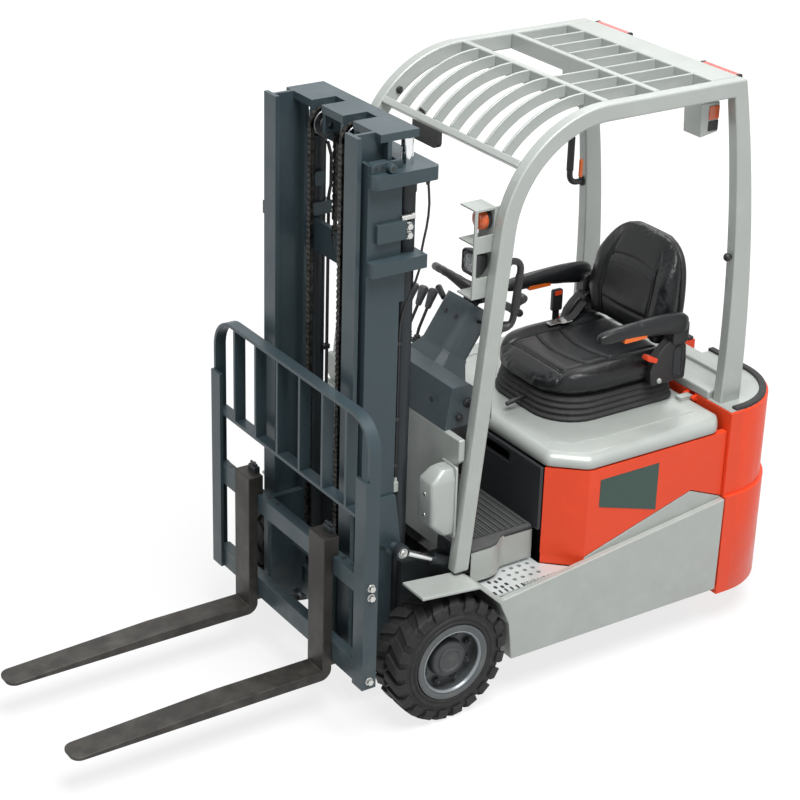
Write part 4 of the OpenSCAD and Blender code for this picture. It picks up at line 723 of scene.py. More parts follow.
def bellows_outline(low, high, rear=0.06, front=0.16):
    """Plan of the bellows, rounder at its front corners."""
    corners = ((high[0], high[1], front, -1, -1, 0), (low[0], high[1], rear, 1, -1, 90),
               (low[0], low[1], rear, 1, 1, 180), (high[0], low[1], front, -1, 1, 270))
    return [p for x, y, r, a, b, turn in corners
            for p in arc((x + a * r, y + b * r), r, turn, turn + 90, 8)]


def add_seat_base():
    """Rubber bellows in stacked ribs over the suspension, a little wider at the foot."""
    shape = Shape()
    rings = []
    steps = 10 * BELLOWS_RIBS
    for i in range(steps + 1):
        t = i / steps
        fold = 0.006 * math.sin(math.pi * BELLOWS_RIBS * t) ** 2
        grow = 0.004 - 0.016 * t + fold
        low = (base_low.x - grow + 0.008, base_low.y - grow)
        high = (base_high.x + grow, base_high.y + grow)
        height = base_low.z + (base_high.z - base_low.z) * t
        rings.append([Vector((x, y, height)) for x, y in bellows_outline(low, high)])
    bellows = shape.loft(rings).done("seat_bellows", "hood", RUBBER, sharp=70)
    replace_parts(bellows, "seat_base")


COVER_OUTLINE = [(-1.024, 0.930), (-0.868, 0.930), (-0.862, 0.985), (-0.880, 1.036), (-0.905, 1.064),
                 (-0.940, 1.092), (-0.990, 1.094), (-1.020, 1.066), (-1.026, 1.000)]
COVER_IN = base_high.y - 0.004
COVER_OUT = arm_high.y - 0.030


def add_seat_sides():
    """Covers over the recliner and armrest pivots, with a hand slot, a latch lever and a button."""
    covers = Shape().prism(COVER_OUTLINE, COVER_IN, COVER_OUT, "y")
    covers.slab((-1.018, 1.075), (-0.945, 1.165), 0.02, COVER_IN, COVER_OUT + 0.012, "y")
    covers.mirrored(SEAT_Y).done("seat_side_covers", "hood", BLACK, 0.010, 3)
    slot = Shape().slab((-0.996, 0.955), (-0.966, 1.062), 0.0145, COVER_OUT - 0.001, COVER_OUT + 0.001, "y")
    slot.mirrored(SEAT_Y).done("seat_cover_slots", "hood", DARK)
    rims = Shape()
    outline = round_rect((-1.000, 0.951), (-0.962, 1.066), 0.0185)
    rims.tube([(x, COVER_OUT + 0.0005, z) for x, z in outline], 0.003, 8, True)
    rims.mirrored(SEAT_Y).done("seat_cover_slot_rims", "hood", BLACK)
    lever = Shape().slab((-0.886, 1.030), (-0.836, 1.048), 0.005, COVER_OUT - 0.028, COVER_OUT + 0.004, "y")
    lever.turned(-24, (-0.86, COVER_OUT, 1.039), Y).done("seat_latch_lever", "hood", RED, 0.002)
    Shape().lathe([(0, 0.010), (0.004, 0.010), (0.007, 0.008), (0.008, 0.004)], (-0.900, COVER_OUT, 0.948),
                  Y, 24).done("seat_weight_button", "hood", SILVER)
    pad_in, pad_out = arm_high.y - 2 * ARM_HALF + 0.0018, arm_high.y - 0.0018
    reflectors = Shape().slab((-0.805, 1.1440), (-0.705, 1.1610), 0.004, pad_in, pad_out, "y")
    reflectors.mirrored(SEAT_Y).done("armrest_reflectors", "hood", MARKER, 0.0015)
    front = base_high.x
    handle = Shape().tube([(front - 0.005, 0.065, 0.885), (front + 0.020, 0.065, 0.885),
                           (front + 0.045, 0.065, 0.880)], 0.006)
    handle.rod((front + 0.040, 0.065, 0.881), (front + 0.078, 0.065, 0.873), 0.009, 0.008)
    handle.done("seat_slide_lever", "hood", BLACK, 0.001)


def add_belt():
    """Reel case, webbing and tongue on the right, and the buckle on its stalk."""
    low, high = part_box("seat_buckle")
    stalk = Shape().box((low.x + 0.008, low.y + 0.004, low.z),
                        (high.x - 0.008, high.y - 0.006, high.z - 0.07))
    head = round_rect((low.x, high.z - 0.085), (high.x, high.z), 0.008)
    stalk.prism(head, low.y, high.y, "y")
    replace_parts(stalk.done("belt_buckle", "hood", BLACK, 0.004), "seat_buckle")
    button = Shape().slab((low.x + 0.007, high.z - 0.022), (high.x - 0.007, high.z - 0.004), 0.004,
                          high.y - 0.002, high.y + 0.0016, "y")
    button.done("belt_buckle_button", "hood", RED, 0.001)
    reel = Shape().slab((-1.012, 1.030), (-0.930, 1.100), 0.02, low.y + 0.004, low.y + 0.058, "y")
    reel.done("belt_reel", "hood", BLACK, 0.006)
    top = cushion_high.z - 0.006
    tongue = Shape().slab((-0.835, -0.160), (-0.785, -0.112), 0.006, top + 0.0075, top + 0.0105, "z")
    tongue.slab((-0.793, -0.151), (-0.738, -0.121), 0.004, top + 0.0075, top + 0.0105, "z")
    tongue.done("belt_tongue", "hood", STEEL, 0.0008)
    web = [Vector((-0.935, -0.178, top + 0.045)), Vector((-0.910, -0.170, top + 0.032)),
           Vector((-0.880, -0.156, top + 0.017)), Vector((-0.850, -0.143, top + 0.011)),
           Vector((-0.818, -0.137, top + 0.010))]
    strip = Shape()
    side = Vector((0.25, 1.0, 0)).normalized() * 0.022
    thick = Vector((0, 0, 0.0012))
    strip.loft([[p - side - thick, p + side - thick, p + side + thick, p - side + thick] for p in web])
    strip.done("belt_webbing", "hood", RUBBER, 0.0006, 1)


seat_cushion, seat_back = add_pads()
add_piping(seat_cushion, seat_back)
add_seat_shell()
add_seat_base()
add_seat_sides()
add_belt()


# Wheels

LUG_DEPTH = 0.013
DRIVE_LUGS = 21
STEER_LUGS = 19
REAR_WIDTH = 0.108


def add_tyre_form(shape, centre, radius, rim, half, lugs):
    """A solid tyre: carcass, ribs round the sidewalls, and blocks that run in over the shoulders."""
    floor = radius - LUG_DEPTH
    sidewall = [(half - 0.002, rim + 0.002), (half, rim + 0.012), (half - 0.005, rim + 0.016),
                (half - 0.001, rim + 0.021), (half - 0.001, rim + 0.030), (half - 0.006, rim + 0.034),
                (half - 0.010, floor - 0.010), (half - 0.020, floor)]
    profile = [(-y, r) for y, r in sidewall] + sidewall[::-1]
    shape.lathe(profile, centre, Y, 72, True)
    # outer and inner corners of a block on its way from the sidewall to the middle of the tread
    path = (((radius * 0.82, half - 0.001), (radius * 0.82, half - 0.012)),
            ((radius - 0.022, half), (radius - 0.034, half - 0.018)),
            ((radius - 0.005, half - 0.006), (radius - 0.026, half - 0.022)),
            ((radius - 0.0005, half - 0.020), (floor - 0.004, half - 0.026)),
            ((radius, half * 0.42), (floor - 0.004, half * 0.42)),
            ((radius, half * 0.04), (floor - 0.004, half * 0.04)))
    pitch = 2 * math.pi / lugs
    for side in (-1, 1):
        for i in range(lugs):
            rings = []
            for step, corners in enumerate(path):
                turn = pitch * (i + 0.25 * side + 0.16 * max(0, step - 2))
                wide = pitch * (0.66, 0.64, 0.62, 0.62, 0.56, 0.50)[step]
                (r_out, y_out), (r_in, y_in) = corners
                ends = ((turn - wide / 2, r_out, y_out), (turn + wide / 2, r_out, y_out),
                        (turn + wide / 2, r_in, y_in), (turn - wide / 2, r_in, y_in))
                rings.append([centre + Vector((r * math.cos(a), side * y, r * math.sin(a)))
                              for a, r, y in ends])
            shape.loft(rings)


def add_drive_wheel(word, side):
    """A front wheel: tyre, rim flange, lip round the dish in the rim paint with a painted highlight, hub cap
    and nuts.
    """
    body = f"wheel_{word}"
    low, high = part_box(f"tyre_{word}")
    centre = (low + high) / 2
    half, radius = (high.y - low.y) / 2, (high.z - low.z) / 2
    rim_low, rim_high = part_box(f"rim_{word}")
    rim = (rim_high.z - rim_low.z) / 2
    shape = Shape()
    add_tyre_form(shape, centre, radius, rim, half, DRIVE_LUGS)
    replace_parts(shape.done(f"tyre_{word}_tread", body, TYRE, 0.002, 1, 30), f"tyre_{word}")
    out = Vector((0, side, 0))
    face = centre + out * half
    flange = Shape().lathe([(-0.004, 0.120), (0.0, 0.124), (0.001, 0.134), (-0.003, 0.1395),
                            (-0.012, 0.1395), (-0.012, 0.120)], face, out, 72, True)
    flange.done(f"rim_{word}_flange", body, RIM_PAINT)
    lip = Shape().lathe([(-0.008, 0.1085), (-0.002, 0.111), (0.0008, 0.1145), (-0.001, 0.1175),
                         (-0.010, 0.1185), (-0.016, 0.112)], face, out, 72, True)
    lip.done(f"rim_{word}_lip", body, RIM_LIP_HIGHLIGHT)
    cap = Shape().lathe([(-0.048, 0.070), (-0.026, 0.068), (-0.020, 0.062), (-0.018, 0.048),
                         (-0.0135, 0.046), (-0.012, 0.040), (-0.0155, 0.036), (-0.0155, 0.006),
                         (-0.014, 0.003)], face, out, 48)
    cap.done(f"hub_{word}_cap", body, CAST)
    nuts = Shape()
    for i in range(8):
        turn = 2 * math.pi * (i + 0.5) / 8
        at = face + out * -0.0498 + Vector((0.091 * math.cos(turn), 0, 0.091 * math.sin(turn)))
        nuts.bolt(at, out, 0.020)
        nuts.rod(at, at + out * 0.022, 0.0055, sides=12)
    nuts.done(f"wheel_{word}_nuts", body, CAST, 0.0006, 1)


def add_rear_wheels():
    """The steered twin wheels on one axle."""
    low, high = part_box("rear_tyres")
    rim_low, rim_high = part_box("rear_rims")
    middle_point = (low + high) / 2
    radius, rim = (high.z - low.z) / 2, (rim_high.z - rim_low.z) / 2
    half = REAR_WIDTH / 2
    tyres = Shape()
    nuts = Shape()
    for side in (-1, 1):
        centre = Vector((middle_point.x, side * (high.y - half), middle_point.z))
        add_tyre_form(tyres, centre, radius, rim, half, STEER_LUGS)
        face = centre + Vector((0, side * half, 0))
        for i in range(6):
            turn = 2 * math.pi * i / 6
            at = face + Vector((0.07 * math.cos(turn), side * -0.003, 0.07 * math.sin(turn)))
            nuts.bolt(at, (0, side, 0), 0.017)
    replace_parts(tyres.done("rear_tyres_tread", "rear_wheels", TYRE, 0.002, 1, 30), "rear_tyres")
    nuts.done("rear_wheel_nuts", "rear_wheels", STEEL, 0.0006, 1)


add_drive_wheel("left", 1)
add_drive_wheel("right", -1)
add_rear_wheels()


# Mast: chains, sheaves, brackets, bolts

CHAIN_PITCH = 0.01905
PLATE_HALF = 0.0080
PLATE_THICK = 0.0027
PIN_RADIUS = 0.0040
PLATE_SETS = ((-0.0085, -0.0028, 0.0028, 0.0085), (-0.00565, 0.0, 0.00565))
CHAIN_HALF = 0.010
CHAIN_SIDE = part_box("chain_front_runs")[1].y - CHAIN_HALF


def plate_outline(start, end):
    """Outline of a chain plate round two pins: two round ends and a narrow waist."""
    run = (end[0] - start[0], end[1] - start[1])
    turn = math.degrees(math.atan2(run[1], run[0]))
    waist = PLATE_HALF * 0.72
    mid = ((start[0] + end[0]) / 2, (start[1] + end[1]) / 2)
    length = math.hypot(*run)
    normal = (-run[1] / length, run[0] / length)
    ahead = arc(end, PLATE_HALF, turn - 90, turn + 90, 6)
    behind = arc(start, PLATE_HALF, turn + 90, turn + 270, 6)
    above = [(mid[0] + normal[0] * waist, mid[1] + normal[1] * waist)]
    below = [(mid[0] - normal[0] * waist, mid[1] - normal[1] * waist)]
    return ahead + above + behind + below


def add_chain(shape, pins, y, first=0):
    """Leaf chain over pins given as (x, z) places: sets of plates by turns, and the pins through them."""
    for i, (start, end) in enumerate(zip(pins, pins[1:])):
        for offset in PLATE_SETS[(i + first) % 2]:
            side = y + offset
            shape.prism(plate_outline(start, end), side - PLATE_THICK / 2, side + PLATE_THICK / 2, "y")
    for x, z in pins:
        shape.rod((x, y - 0.0112, z), (x, y + 0.0112, z), PIN_RADIUS, sides=10)


def chain_run(node, name, body):
    """Both straight chains of a run in place of its solid bars."""
    low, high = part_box(node)
    links = round((high.z - low.z) / CHAIN_PITCH)
    x = (low.x + high.x) / 2
    pins = [(x, low.z + (high.z - low.z) * i / links) for i in range(links + 1)]
    shape = Shape()
    for side in (-1, 1):
        add_chain(shape, pins, side * CHAIN_SIDE)
    piece = shape.done(name, body, CHAIN, sharp=30)
    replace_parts(piece, node)
    return piece


def add_chains():
    front = chain_run("chain_front_runs", "lift_chain_fronts", "mast_inner")
    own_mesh(front)
    back = chain_run("chain_back_runs", "lift_chain_backs", None)
    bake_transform(back)
    low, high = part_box("chain_tops")
    centre = ((low.x + high.x) / 2, low.z)
    radius = (high.x - low.x) / 2 - PLATE_HALF
    tops = Shape()
    links = round(math.pi * radius / CHAIN_PITCH)
    for side in (-1, 1):
        add_chain(tops, arc(centre, radius, 0, 180, links), side * CHAIN_SIDE, 1)
    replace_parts(tops.done("lift_chain_tops", "mast_inner", CHAIN, sharp=30), "chain_tops")


def add_sheaves():
    """Grooved chain wheels with a bearing, a retaining ring and a pin bolt."""
    low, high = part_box("sheaves")
    centre = Vector(((low.x + high.x) / 2, 0, (low.z + high.z) / 2))
    wheels = Shape()
    pins = Shape()
    for side in (-1, 1):
        at = centre + Vector((0, side * CHAIN_SIDE, 0))
        profile = [(-0.016, 0.016), (-0.016, 0.044), (-0.0135, 0.046), (-0.0125, 0.040), (0.0125, 0.040),
                   (0.0135, 0.046), (0.016, 0.044), (0.016, 0.034), (0.013, 0.032), (0.013, 0.022),
                   (0.016, 0.020), (0.016, 0.016)]
        wheels.lathe(profile, at, Y, 48, True)
        pins.rod(at - Vector((0, 0.020, 0)), at + Vector((0, 0.020, 0)), 0.0158)
        for end in (-1, 1):
            pins.bolt(at + Vector((0, end * 0.020, 0)), (0, end, 0), 0.017)
    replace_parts(wheels.done("chain_wheels", "mast_inner", SHEAVE), "sheaves")
    pins.done("chain_wheel_pins", "mast_inner", STEEL, 0.0008, 1)


def add_anchors():
    """Threaded chain anchors with their forked tops and lock nuts on the cross tie."""
    low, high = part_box("chain_anchors")
    x = (low.x + high.x) / 2
    anchors = Shape()
    for side in (-1, 1):
        y = side * CHAIN_SIDE
        anchors.slab((x - 0.008, high.z - 0.026), (x + 0.008, high.z + 0.006), 0.005,
                     y - 0.010, y + 0.010, "y")
        thread = [(low.z - 0.075 + 0.0022 * i, 0.001 * (i % 2) + 0.0068) for i in range(60)]
        anchors.lathe(thread, (x, y, 0), Z, 14)
        for z in (low.z - 0.012, low.z - 0.028, low.z + 0.004):
            anchors.rod((x, y, z), (x, y, z + 0.012), 0.0125, sides=6)
    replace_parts(anchors.done("chain_anchor_bolts", "mast_outer", CHAIN, 0.0005, 1, 30), "chain_anchors")


MAST_FACE = 0.304
BARREL_AT = (0.181, 0.268)
PIPE_AT = (0.152, 0.237)
KEEPER_PIN = (0.276, 1.948)


def add_keepers():
    """Ears at the heads of the outer uprights, each with a pin and two holes; the two holes and a hole in
    the pin's end are drawn as dark discs of painted shade.
    """
    pin_x, pin_z = KEEPER_PIN
    ears = Shape()
    ear = [(0.262, 1.930), (0.343, 1.930), (0.343, 1.958), (0.335, 1.966)]
    ears.prism(ear + arc((0.284, 1.944), 0.022, 90, 180, 6), MAST_FACE - 0.02, MAST_FACE + 0.012, "y")
    ears.rod((pin_x, MAST_FACE + 0.004, pin_z), (pin_x, MAST_FACE + 0.034, pin_z), 0.0145)
    ears.mirrored().done("mast_keeper_ears", "mast_outer", SLATE, 0.002)
    # painted shade: dark discs where the holes are
    holes = Shape()
    for x, z, r in ((0.326, 1.950, 0.007), (0.304, 1.950, 0.008)):
        holes.lathe([(0, r), (0.0006, r), (0.0006, r * 0.3)], (x, MAST_FACE + 0.012, z), Y, 20)
    holes.rod((pin_x, MAST_FACE + 0.034, pin_z), (pin_x, MAST_FACE + 0.0346, pin_z), 0.007)
    holes.mirrored().done("mast_keeper_hole_shade", "mast_outer", DARK)


def add_cylinder_clamps():
    """Clamps that hold the lift cylinders to the uprights, with their bolts."""
    clamps = Shape().slab((0.208, 1.700), (0.318, 1.764), 0.004, MAST_FACE - 0.004, MAST_FACE + 0.016, "y")
    clamps.slab((0.176, 1.704), (0.214, 1.756), 0.01, 0.226, MAST_FACE + 0.010, "y")
    clamps.mirrored().done("lift_cylinder_clamps", "mast_outer", SLATE, 0.002)
    bolts = Shape()
    for z in (1.712, 1.742):
        bolts.bolt((0.200, MAST_FACE + 0.010, z), Y, 0.020)
    bolts.rod((0.176, MAST_FACE + 0.006, 1.770), (0.226, MAST_FACE + 0.006, 1.770), 0.010)
    bolts.mirrored().done("lift_clamp_bolts", "mast_outer", STEEL, 0.001, 1)


def add_cylinder_pipes():
    """An oil pipe up each lift cylinder, in clips."""
    pipes = Shape()
    x, y = PIPE_AT
    pipes.tube([(x, y, 0.36), (x, y, 1.66), (x - 0.008, y, 1.70), (x - 0.008, y, 1.80),
                (x + 0.006, y, 1.85)], 0.006, 10)
    for z in (0.7, 1.1, 1.45):
        pipes.slab((x - 0.009, y - 0.010), (x + 0.020, y + 0.012), 0.004, z, z + 0.016, "z")
    pipes.mirrored().done("lift_cylinder_pipes", "mast_outer", BLACK, 0.0008, 1)


def add_foot_bolts():
    """Bolts in the feet of the outer uprights."""
    feet = Shape()
    for z in (0.165, 0.215, 0.40, 0.455):
        feet.bolt((0.300, MAST_FACE, z), Y, 0.022)
    feet.mirrored().done("mast_foot_bolts", "mast_outer", STEEL, 0.001, 1)


def add_glands():
    """Glands round the lift rods at the heads of their barrels."""
    glands = Shape()
    for side in (-1, 1):
        at = Vector((BARREL_AT[0], side * BARREL_AT[1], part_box("lift_barrels")[1].z - 0.001))
        glands.lathe([(-0.035, 0.0315), (-0.035, 0.034), (-0.002, 0.034), (0.001, 0.031), (0.001, 0.022)],
                     at, Z, 40, True)
    glands.done("lift_cylinder_glands", "mast_outer", FRAME_PAINT)


CABLE_Y = 0.298
CABLE_RUN = 0.211
CABLE_RADIUS = 0.004
CABLE_PATH = [(0.120, 1.894), (0.119, 1.870), (0.115, 1.835), (0.112, 1.795), (0.114, 1.755),
              (0.120, 1.715), (0.128, 1.680), (0.135, 1.645), (0.1375, 1.612), (0.142, 1.578),
              (0.154, 1.543), (0.171, 1.508), (0.188, 1.474), (0.202, 1.438), (0.2095, 1.400),
              (CABLE_RUN, 1.360), (CABLE_RUN, 1.250), (CABLE_RUN, 1.100), (CABLE_RUN, 0.950),
              (CABLE_RUN, 0.848)]


def add_mast_cable():
    """The lead that leaves the collar, passes behind the lower bracket and runs down the left upright."""
    cable = Shape().tube([(x, CABLE_Y, z) for x, z in CABLE_PATH], CABLE_RADIUS, 12)
    cable.lathe([(0, 0.0085), (0.012, 0.0085), (0.030, 0.0052)], (0.120, CABLE_Y, 1.889), (0, 0, -1), 16)
    for z in (1.330, 1.060, 0.890):
        cable.slab((0.2045, CABLE_Y - 0.0065), (0.2205, CABLE_Y + 0.0065), 0.003, z, z + 0.012, "z")
    cable.done("mast_cable", "mast_outer", BLACK, 0.0006, 1)
    plug = Shape().slab((0.2025, CABLE_Y - 0.009), (0.2205, CABLE_Y + 0.009), 0.003, 0.800, 0.836, "z")
    plug.lathe([(0, 0.0075), (0.016, 0.0055)], (CABLE_RUN, CABLE_Y, 0.835), Z, 16)
    plug.done("mast_cable_plug", "mast_outer", SILVER, 0.001, 1)


add_chains()
add_sheaves()
add_anchors()
add_keepers()
add_cylinder_clamps()
add_cylinder_pipes()
add_foot_bolts()
add_glands()
add_mast_cable()


# Cab: dash, levers, wheel, pedals, lamps, mirror

levers_low, levers_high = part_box("levers")
LEVER_SIDES = (-0.088, -0.142, -0.196)
LEVER_AXIS = Vector((-math.sin(math.radians(21)), 0, math.cos(math.radians(21))))
LEVER_TOP = Vector((levers_low.x + 0.016, 0, levers_high.z + 0.004))


def add_levers():
    """Three hydraulic levers: bent steel rods in rubber boots, with shaped grips."""
    rods, boots, grips = Shape(), Shape(), Shape()
    for number, y in enumerate(LEVER_SIDES):
        top = LEVER_TOP + Vector((0, y, 0)) - LEVER_AXIS * (0.008 * number)
        foot = LEVER_TOP + Vector((0, y, 0)) - LEVER_AXIS * 0.205
        bend = foot + LEVER_AXIS * 0.06 + Vector((0.006, 0, 0))
        rods.tube([foot, bend, top - LEVER_AXIS * 0.06], 0.0055, 12)
        boots.lathe([(0, 0.019), (0.006, 0.019), (0.010, 0.014), (0.014, 0.016), (0.019, 0.011),
                     (0.023, 0.013), (0.030, 0.0075)], foot + LEVER_AXIS * 0.004, LEVER_AXIS, 28)
        grips.lathe([(-0.072, 0.0095), (-0.066, 0.0115), (-0.045, 0.0135), (-0.026, 0.0165),
                     (-0.010, 0.0180), (-0.003, 0.0150), (0.0, 0.0090)], top, LEVER_AXIS, 28)
    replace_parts(rods.done("lever_rods", "chassis", BLACK), "levers")
    boots.done("lever_boots", "chassis", RUBBER)
    grips.done("lever_grips", "chassis", GREY)


COLUMN_FOOT = Vector((-0.075, 0.03, 1.01))
COLUMN_AXIS = Vector((-0.559, 0, 0.829))
COLUMN_ACROSS = Vector(Y)
COLUMN_FACE = COLUMN_AXIS.cross(COLUMN_ACROSS)
STALK_RISE = 0.285
DASH_FRONT = 0.0405
WHEEL_CENTRE = Vector((-0.276, 0.03, 1.308))
WHEEL_RADIUS = 0.165
RIM_GRIP = 0.0135


def wheel_point(turn, radius, rise=0.0):
    """A place in the plane of the steering wheel."""
    across, up = square_axes(COLUMN_AXIS)
    out = across * (radius * math.cos(turn)) + up * (radius * math.sin(turn))
    return WHEEL_CENTRE + out + COLUMN_AXIS * rise


def add_steering_wheel():
    """Grip with finger waves, spokes, a hub with its blank cap, and a spinner knob."""
    rim = Shape()
    rings = []
    for i in range(120):
        turn = 2 * math.pi * i / 120
        out = wheel_point(turn, 1.0) - WHEEL_CENTRE
        thick = RIM_GRIP * (1 + 0.05 * math.cos(24 * turn))
        rings.append(circle(wheel_point(turn, WHEEL_RADIUS, 0.02), out, COLUMN_AXIS, thick, 14))
    rim.loft(rings, True)
    for turn in (math.radians(a) for a in (-90, 30, 150)):
        inner, outer = wheel_point(turn, 0.03), wheel_point(turn, WHEEL_RADIUS, 0.02)
        side = (wheel_point(turn + 0.1, 1) - wheel_point(turn - 0.1, 1)).normalized()
        rings = [[at + side * (w * a) + COLUMN_AXIS * (t * b) for a, b in
                  ((1, -1), (1.2, 0), (1, 1), (-1, 1), (-1.2, 0), (-1, -1))]
                 for at, w, t in ((inner, 0.024, 0.010), (inner.lerp(outer, 0.5), 0.013, 0.008),
                                  (outer, 0.012, 0.007))]
        rim.loft(rings)
    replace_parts(rim.done("steering_wheel_rim", "steering_wheel", BLACK, sharp=50), "steering_wheel")
    hub = Shape().lathe([(-0.050, 0.026), (-0.020, 0.030), (-0.006, 0.046), (0.010, 0.047), (0.018, 0.041),
                         (0.020, 0.036), (0.0185, 0.033), (0.0225, 0.012)], WHEEL_CENTRE, COLUMN_AXIS, 48)
    hub.done("steering_wheel_hub", "steering_wheel", BLACK)
    at = wheel_point(math.radians(200), WHEEL_RADIUS, 0.034)
    knob = Shape().lathe([(0, 0.012), (0.010, 0.009), (0.018, 0.013), (0.028, 0.0195), (0.040, 0.0205),
                          (0.048, 0.016), (0.051, 0.008)], at, COLUMN_AXIS, 32)
    knob.done("steering_spinner", "steering_wheel", BLACK)


def add_stalks():
    """A stalk on each side of the column, the left one longer."""
    across, along = COLUMN_ACROSS, COLUMN_AXIS
    stalks = Shape()
    left = COLUMN_FOOT + along * STALK_RISE + across * 0.08
    stalks.tube([left, left + across * 0.05 + along * 0.01, left + across * 0.105 + along * 0.03], 0.006)
    stalks.rod(left + across * 0.095 + along * 0.026, left + across * 0.155 + along * 0.05, 0.010, 0.012)
    right = COLUMN_FOOT + along * STALK_RISE - across * 0.08
    stalks.tube([right, right - across * 0.06 + along * 0.015], 0.006)
    stalks.rod(right - across * 0.05 + along * 0.012, right - across * 0.105 + along * 0.035,
               0.0105, 0.0125)
    stalks.done("column_stalks", "chassis", BLACK, 0.002)


def add_dash_plugs():
    """Round plugs in the front of the dash and of the column's cover."""
    plugs = Shape()
    for y, z in ((0.245, 1.075), (-0.245, 1.075), (0.10, 1.03), (-0.10, 1.03)):
        plugs.lathe([(-0.002, 0.009), (0.0004, 0.009), (0.0008, 0.004)], (DASH_FRONT, y, z), X, 20)
    for rise, y in ((0.265, 0.010), (0.265, 0.070), (0.10, -0.035), (0.10, 0.095)):
        at = COLUMN_FOOT + COLUMN_AXIS * rise + COLUMN_ACROSS * (y - 0.03) - COLUMN_FACE * 0.0595
        plugs.lathe([(-0.002, 0.010), (0.001, 0.010), (0.0015, 0.005)], at, -COLUMN_FACE, 20)
    plugs.done("dash_plugs", "chassis", BLACK)


def add_dash_controls():
    """The lock with its key and a button on the dash's left, and a knob on its top."""
    lock = Shape().lathe([(-0.01, 0.018), (0.006, 0.018), (0.010, 0.014), (0.018, 0.013), (0.020, 0.010)],
                         (-0.050, 0.327, 1.075), Y, 28)
    lock.lathe([(-0.01, 0.013), (0.010, 0.013), (0.016, 0.010)], (-0.015, 0.327, 1.030), Y, 28)
    knob = [(-0.01, 0.016), (0.016, 0.016), (0.024, 0.020), (0.032, 0.018)]
    lock.lathe(knob, (-0.02, -0.26, 1.142), Z, 28)
    lock.done("dash_controls", "chassis", BLACK, 0.001)
    key = Shape().slab((-0.0516, 1.068), (-0.0484, 1.082), 0.001, 0.345, 0.376, "y")
    key.slab((-0.0525, 1.063), (-0.0475, 1.087), 0.002, 0.366, 0.384, "y")
    key.done("dash_key", "chassis", STEEL, 0.0006, 1)


def add_collar():
    """The collar round the column's foot."""
    rings = []
    for rise, deep, wide in ((0.02, 0.098, 0.128), (0.06, 0.096, 0.126), (0.135, 0.0625, 0.0885),
                             (0.150, 0.0600, 0.0855)):
        at = COLUMN_FOOT + COLUMN_AXIS * rise
        rings.append([at + COLUMN_FACE * (deep * a) + COLUMN_ACROSS * (wide * b)
                      for a, b in ((1, 0.7), (0.7, 1), (-0.7, 1), (-1, 0.7), (-1, -0.7), (-0.7, -1),
                                   (0.7, -1), (1, -0.7))])
    Shape().loft(rings).done("column_collar", "chassis", DASH, 0.004)


def add_pedals():
    """Ribbed rubber pads over the pedals and their arms."""
    low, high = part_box("pedals")
    ribs = Shape()
    for y0, y1 in ((-0.225, -0.145), (-0.105, -0.025)):
        for i in range(6):
            t = (i + 0.5) / 6
            x, z = low.x + (high.x - low.x) * (1 - t), low.z + (high.z - low.z) * t
            ribs.rod((x - 0.002, y0 + 0.006, z + 0.004), (x - 0.002, y1 - 0.006, z + 0.004), 0.0032,
                     sides=10)
    ribs.done("pedal_ribs", "chassis", RUBBER)


def add_turn_lamps():
    """Amber domes in cups on the lamp brackets, with rings moulded on them."""
    low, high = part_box("turn_lamps")
    lamp_y, lamp_z = high.y - 0.036, (low.z + high.z) / 2
    lenses, cups = Shape(), Shape()
    for side in (-1, 1):
        at = Vector((low.x, side * lamp_y, lamp_z))
        cups.lathe([(0, 0.030), (0.002, 0.034), (0.014, 0.036), (0.016, 0.034)], at, X, 40)
        lenses.lathe([(0.014, 0.0335), (0.018, 0.035), (0.030, 0.034), (0.038, 0.029), (0.042, 0.020),
                      (0.044, 0.008)], at, X, 40)
        for r in (0.012, 0.020, 0.027):
            ring = [at + Vector((0.0425 - (r / 0.034) ** 2 * 0.010, r * math.cos(a), r * math.sin(a)))
                    for a in (2 * math.pi * i / 32 for i in range(32))]
            lenses.tube(ring, 0.0013, 6, True)
    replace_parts(lenses.done("turn_lamp_lenses", "chassis", AMBER), "turn_lamps")
    cups.done("turn_lamp_cups", "chassis", BLACK)


def add_headlamps():
    """Square housings, each with a dish behind its glass."""
    low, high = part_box("headlamps")
    mid_z, half = (low.z + high.z) / 2, (high.z - low.z) / 2
    # steps of the housing from back to front: place and how much wider than the lamp
    steps = ((low.x, -0.026), (low.x + 0.012, -0.014), (low.x + 0.034, -0.003), (high.x - 0.006, 0.0),
             (high.x, -0.002), (high.x, -0.008), (high.x - 0.010, -0.010))
    housings, glasses, dishes = Shape(), Shape(), Shape()
    for y in (half - high.y, high.y - half):
        rings = []
        for x, grow in steps:
            outline = round_rect((y - half - grow, mid_z - half - grow),
                                 (y + half + grow, mid_z + half + grow), 0.014)
            rings.append([Vector((x, a, b)) for a, b in outline])
        housings.loft(rings)
        glasses.slab((y - half + 0.009, mid_z - half + 0.009), (y + half - 0.009, mid_z + half - 0.009),
                     0.008, high.x - 0.006, high.x - 0.003, "x")
        dishes.lathe([(0.001, 0.031), (-0.004, 0.029), (-0.003, 0.012), (0.0, 0.007)],
                     (high.x - 0.0085, y, mid_z), X, 32)
    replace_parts(housings.done("headlamp_housings", "chassis", BLACK, sharp=50), "headlamps")
    glasses.done("headlamp_glasses", "chassis", CLEAR)
    dishes.done("headlamp_reflectors", "chassis", CHROME)


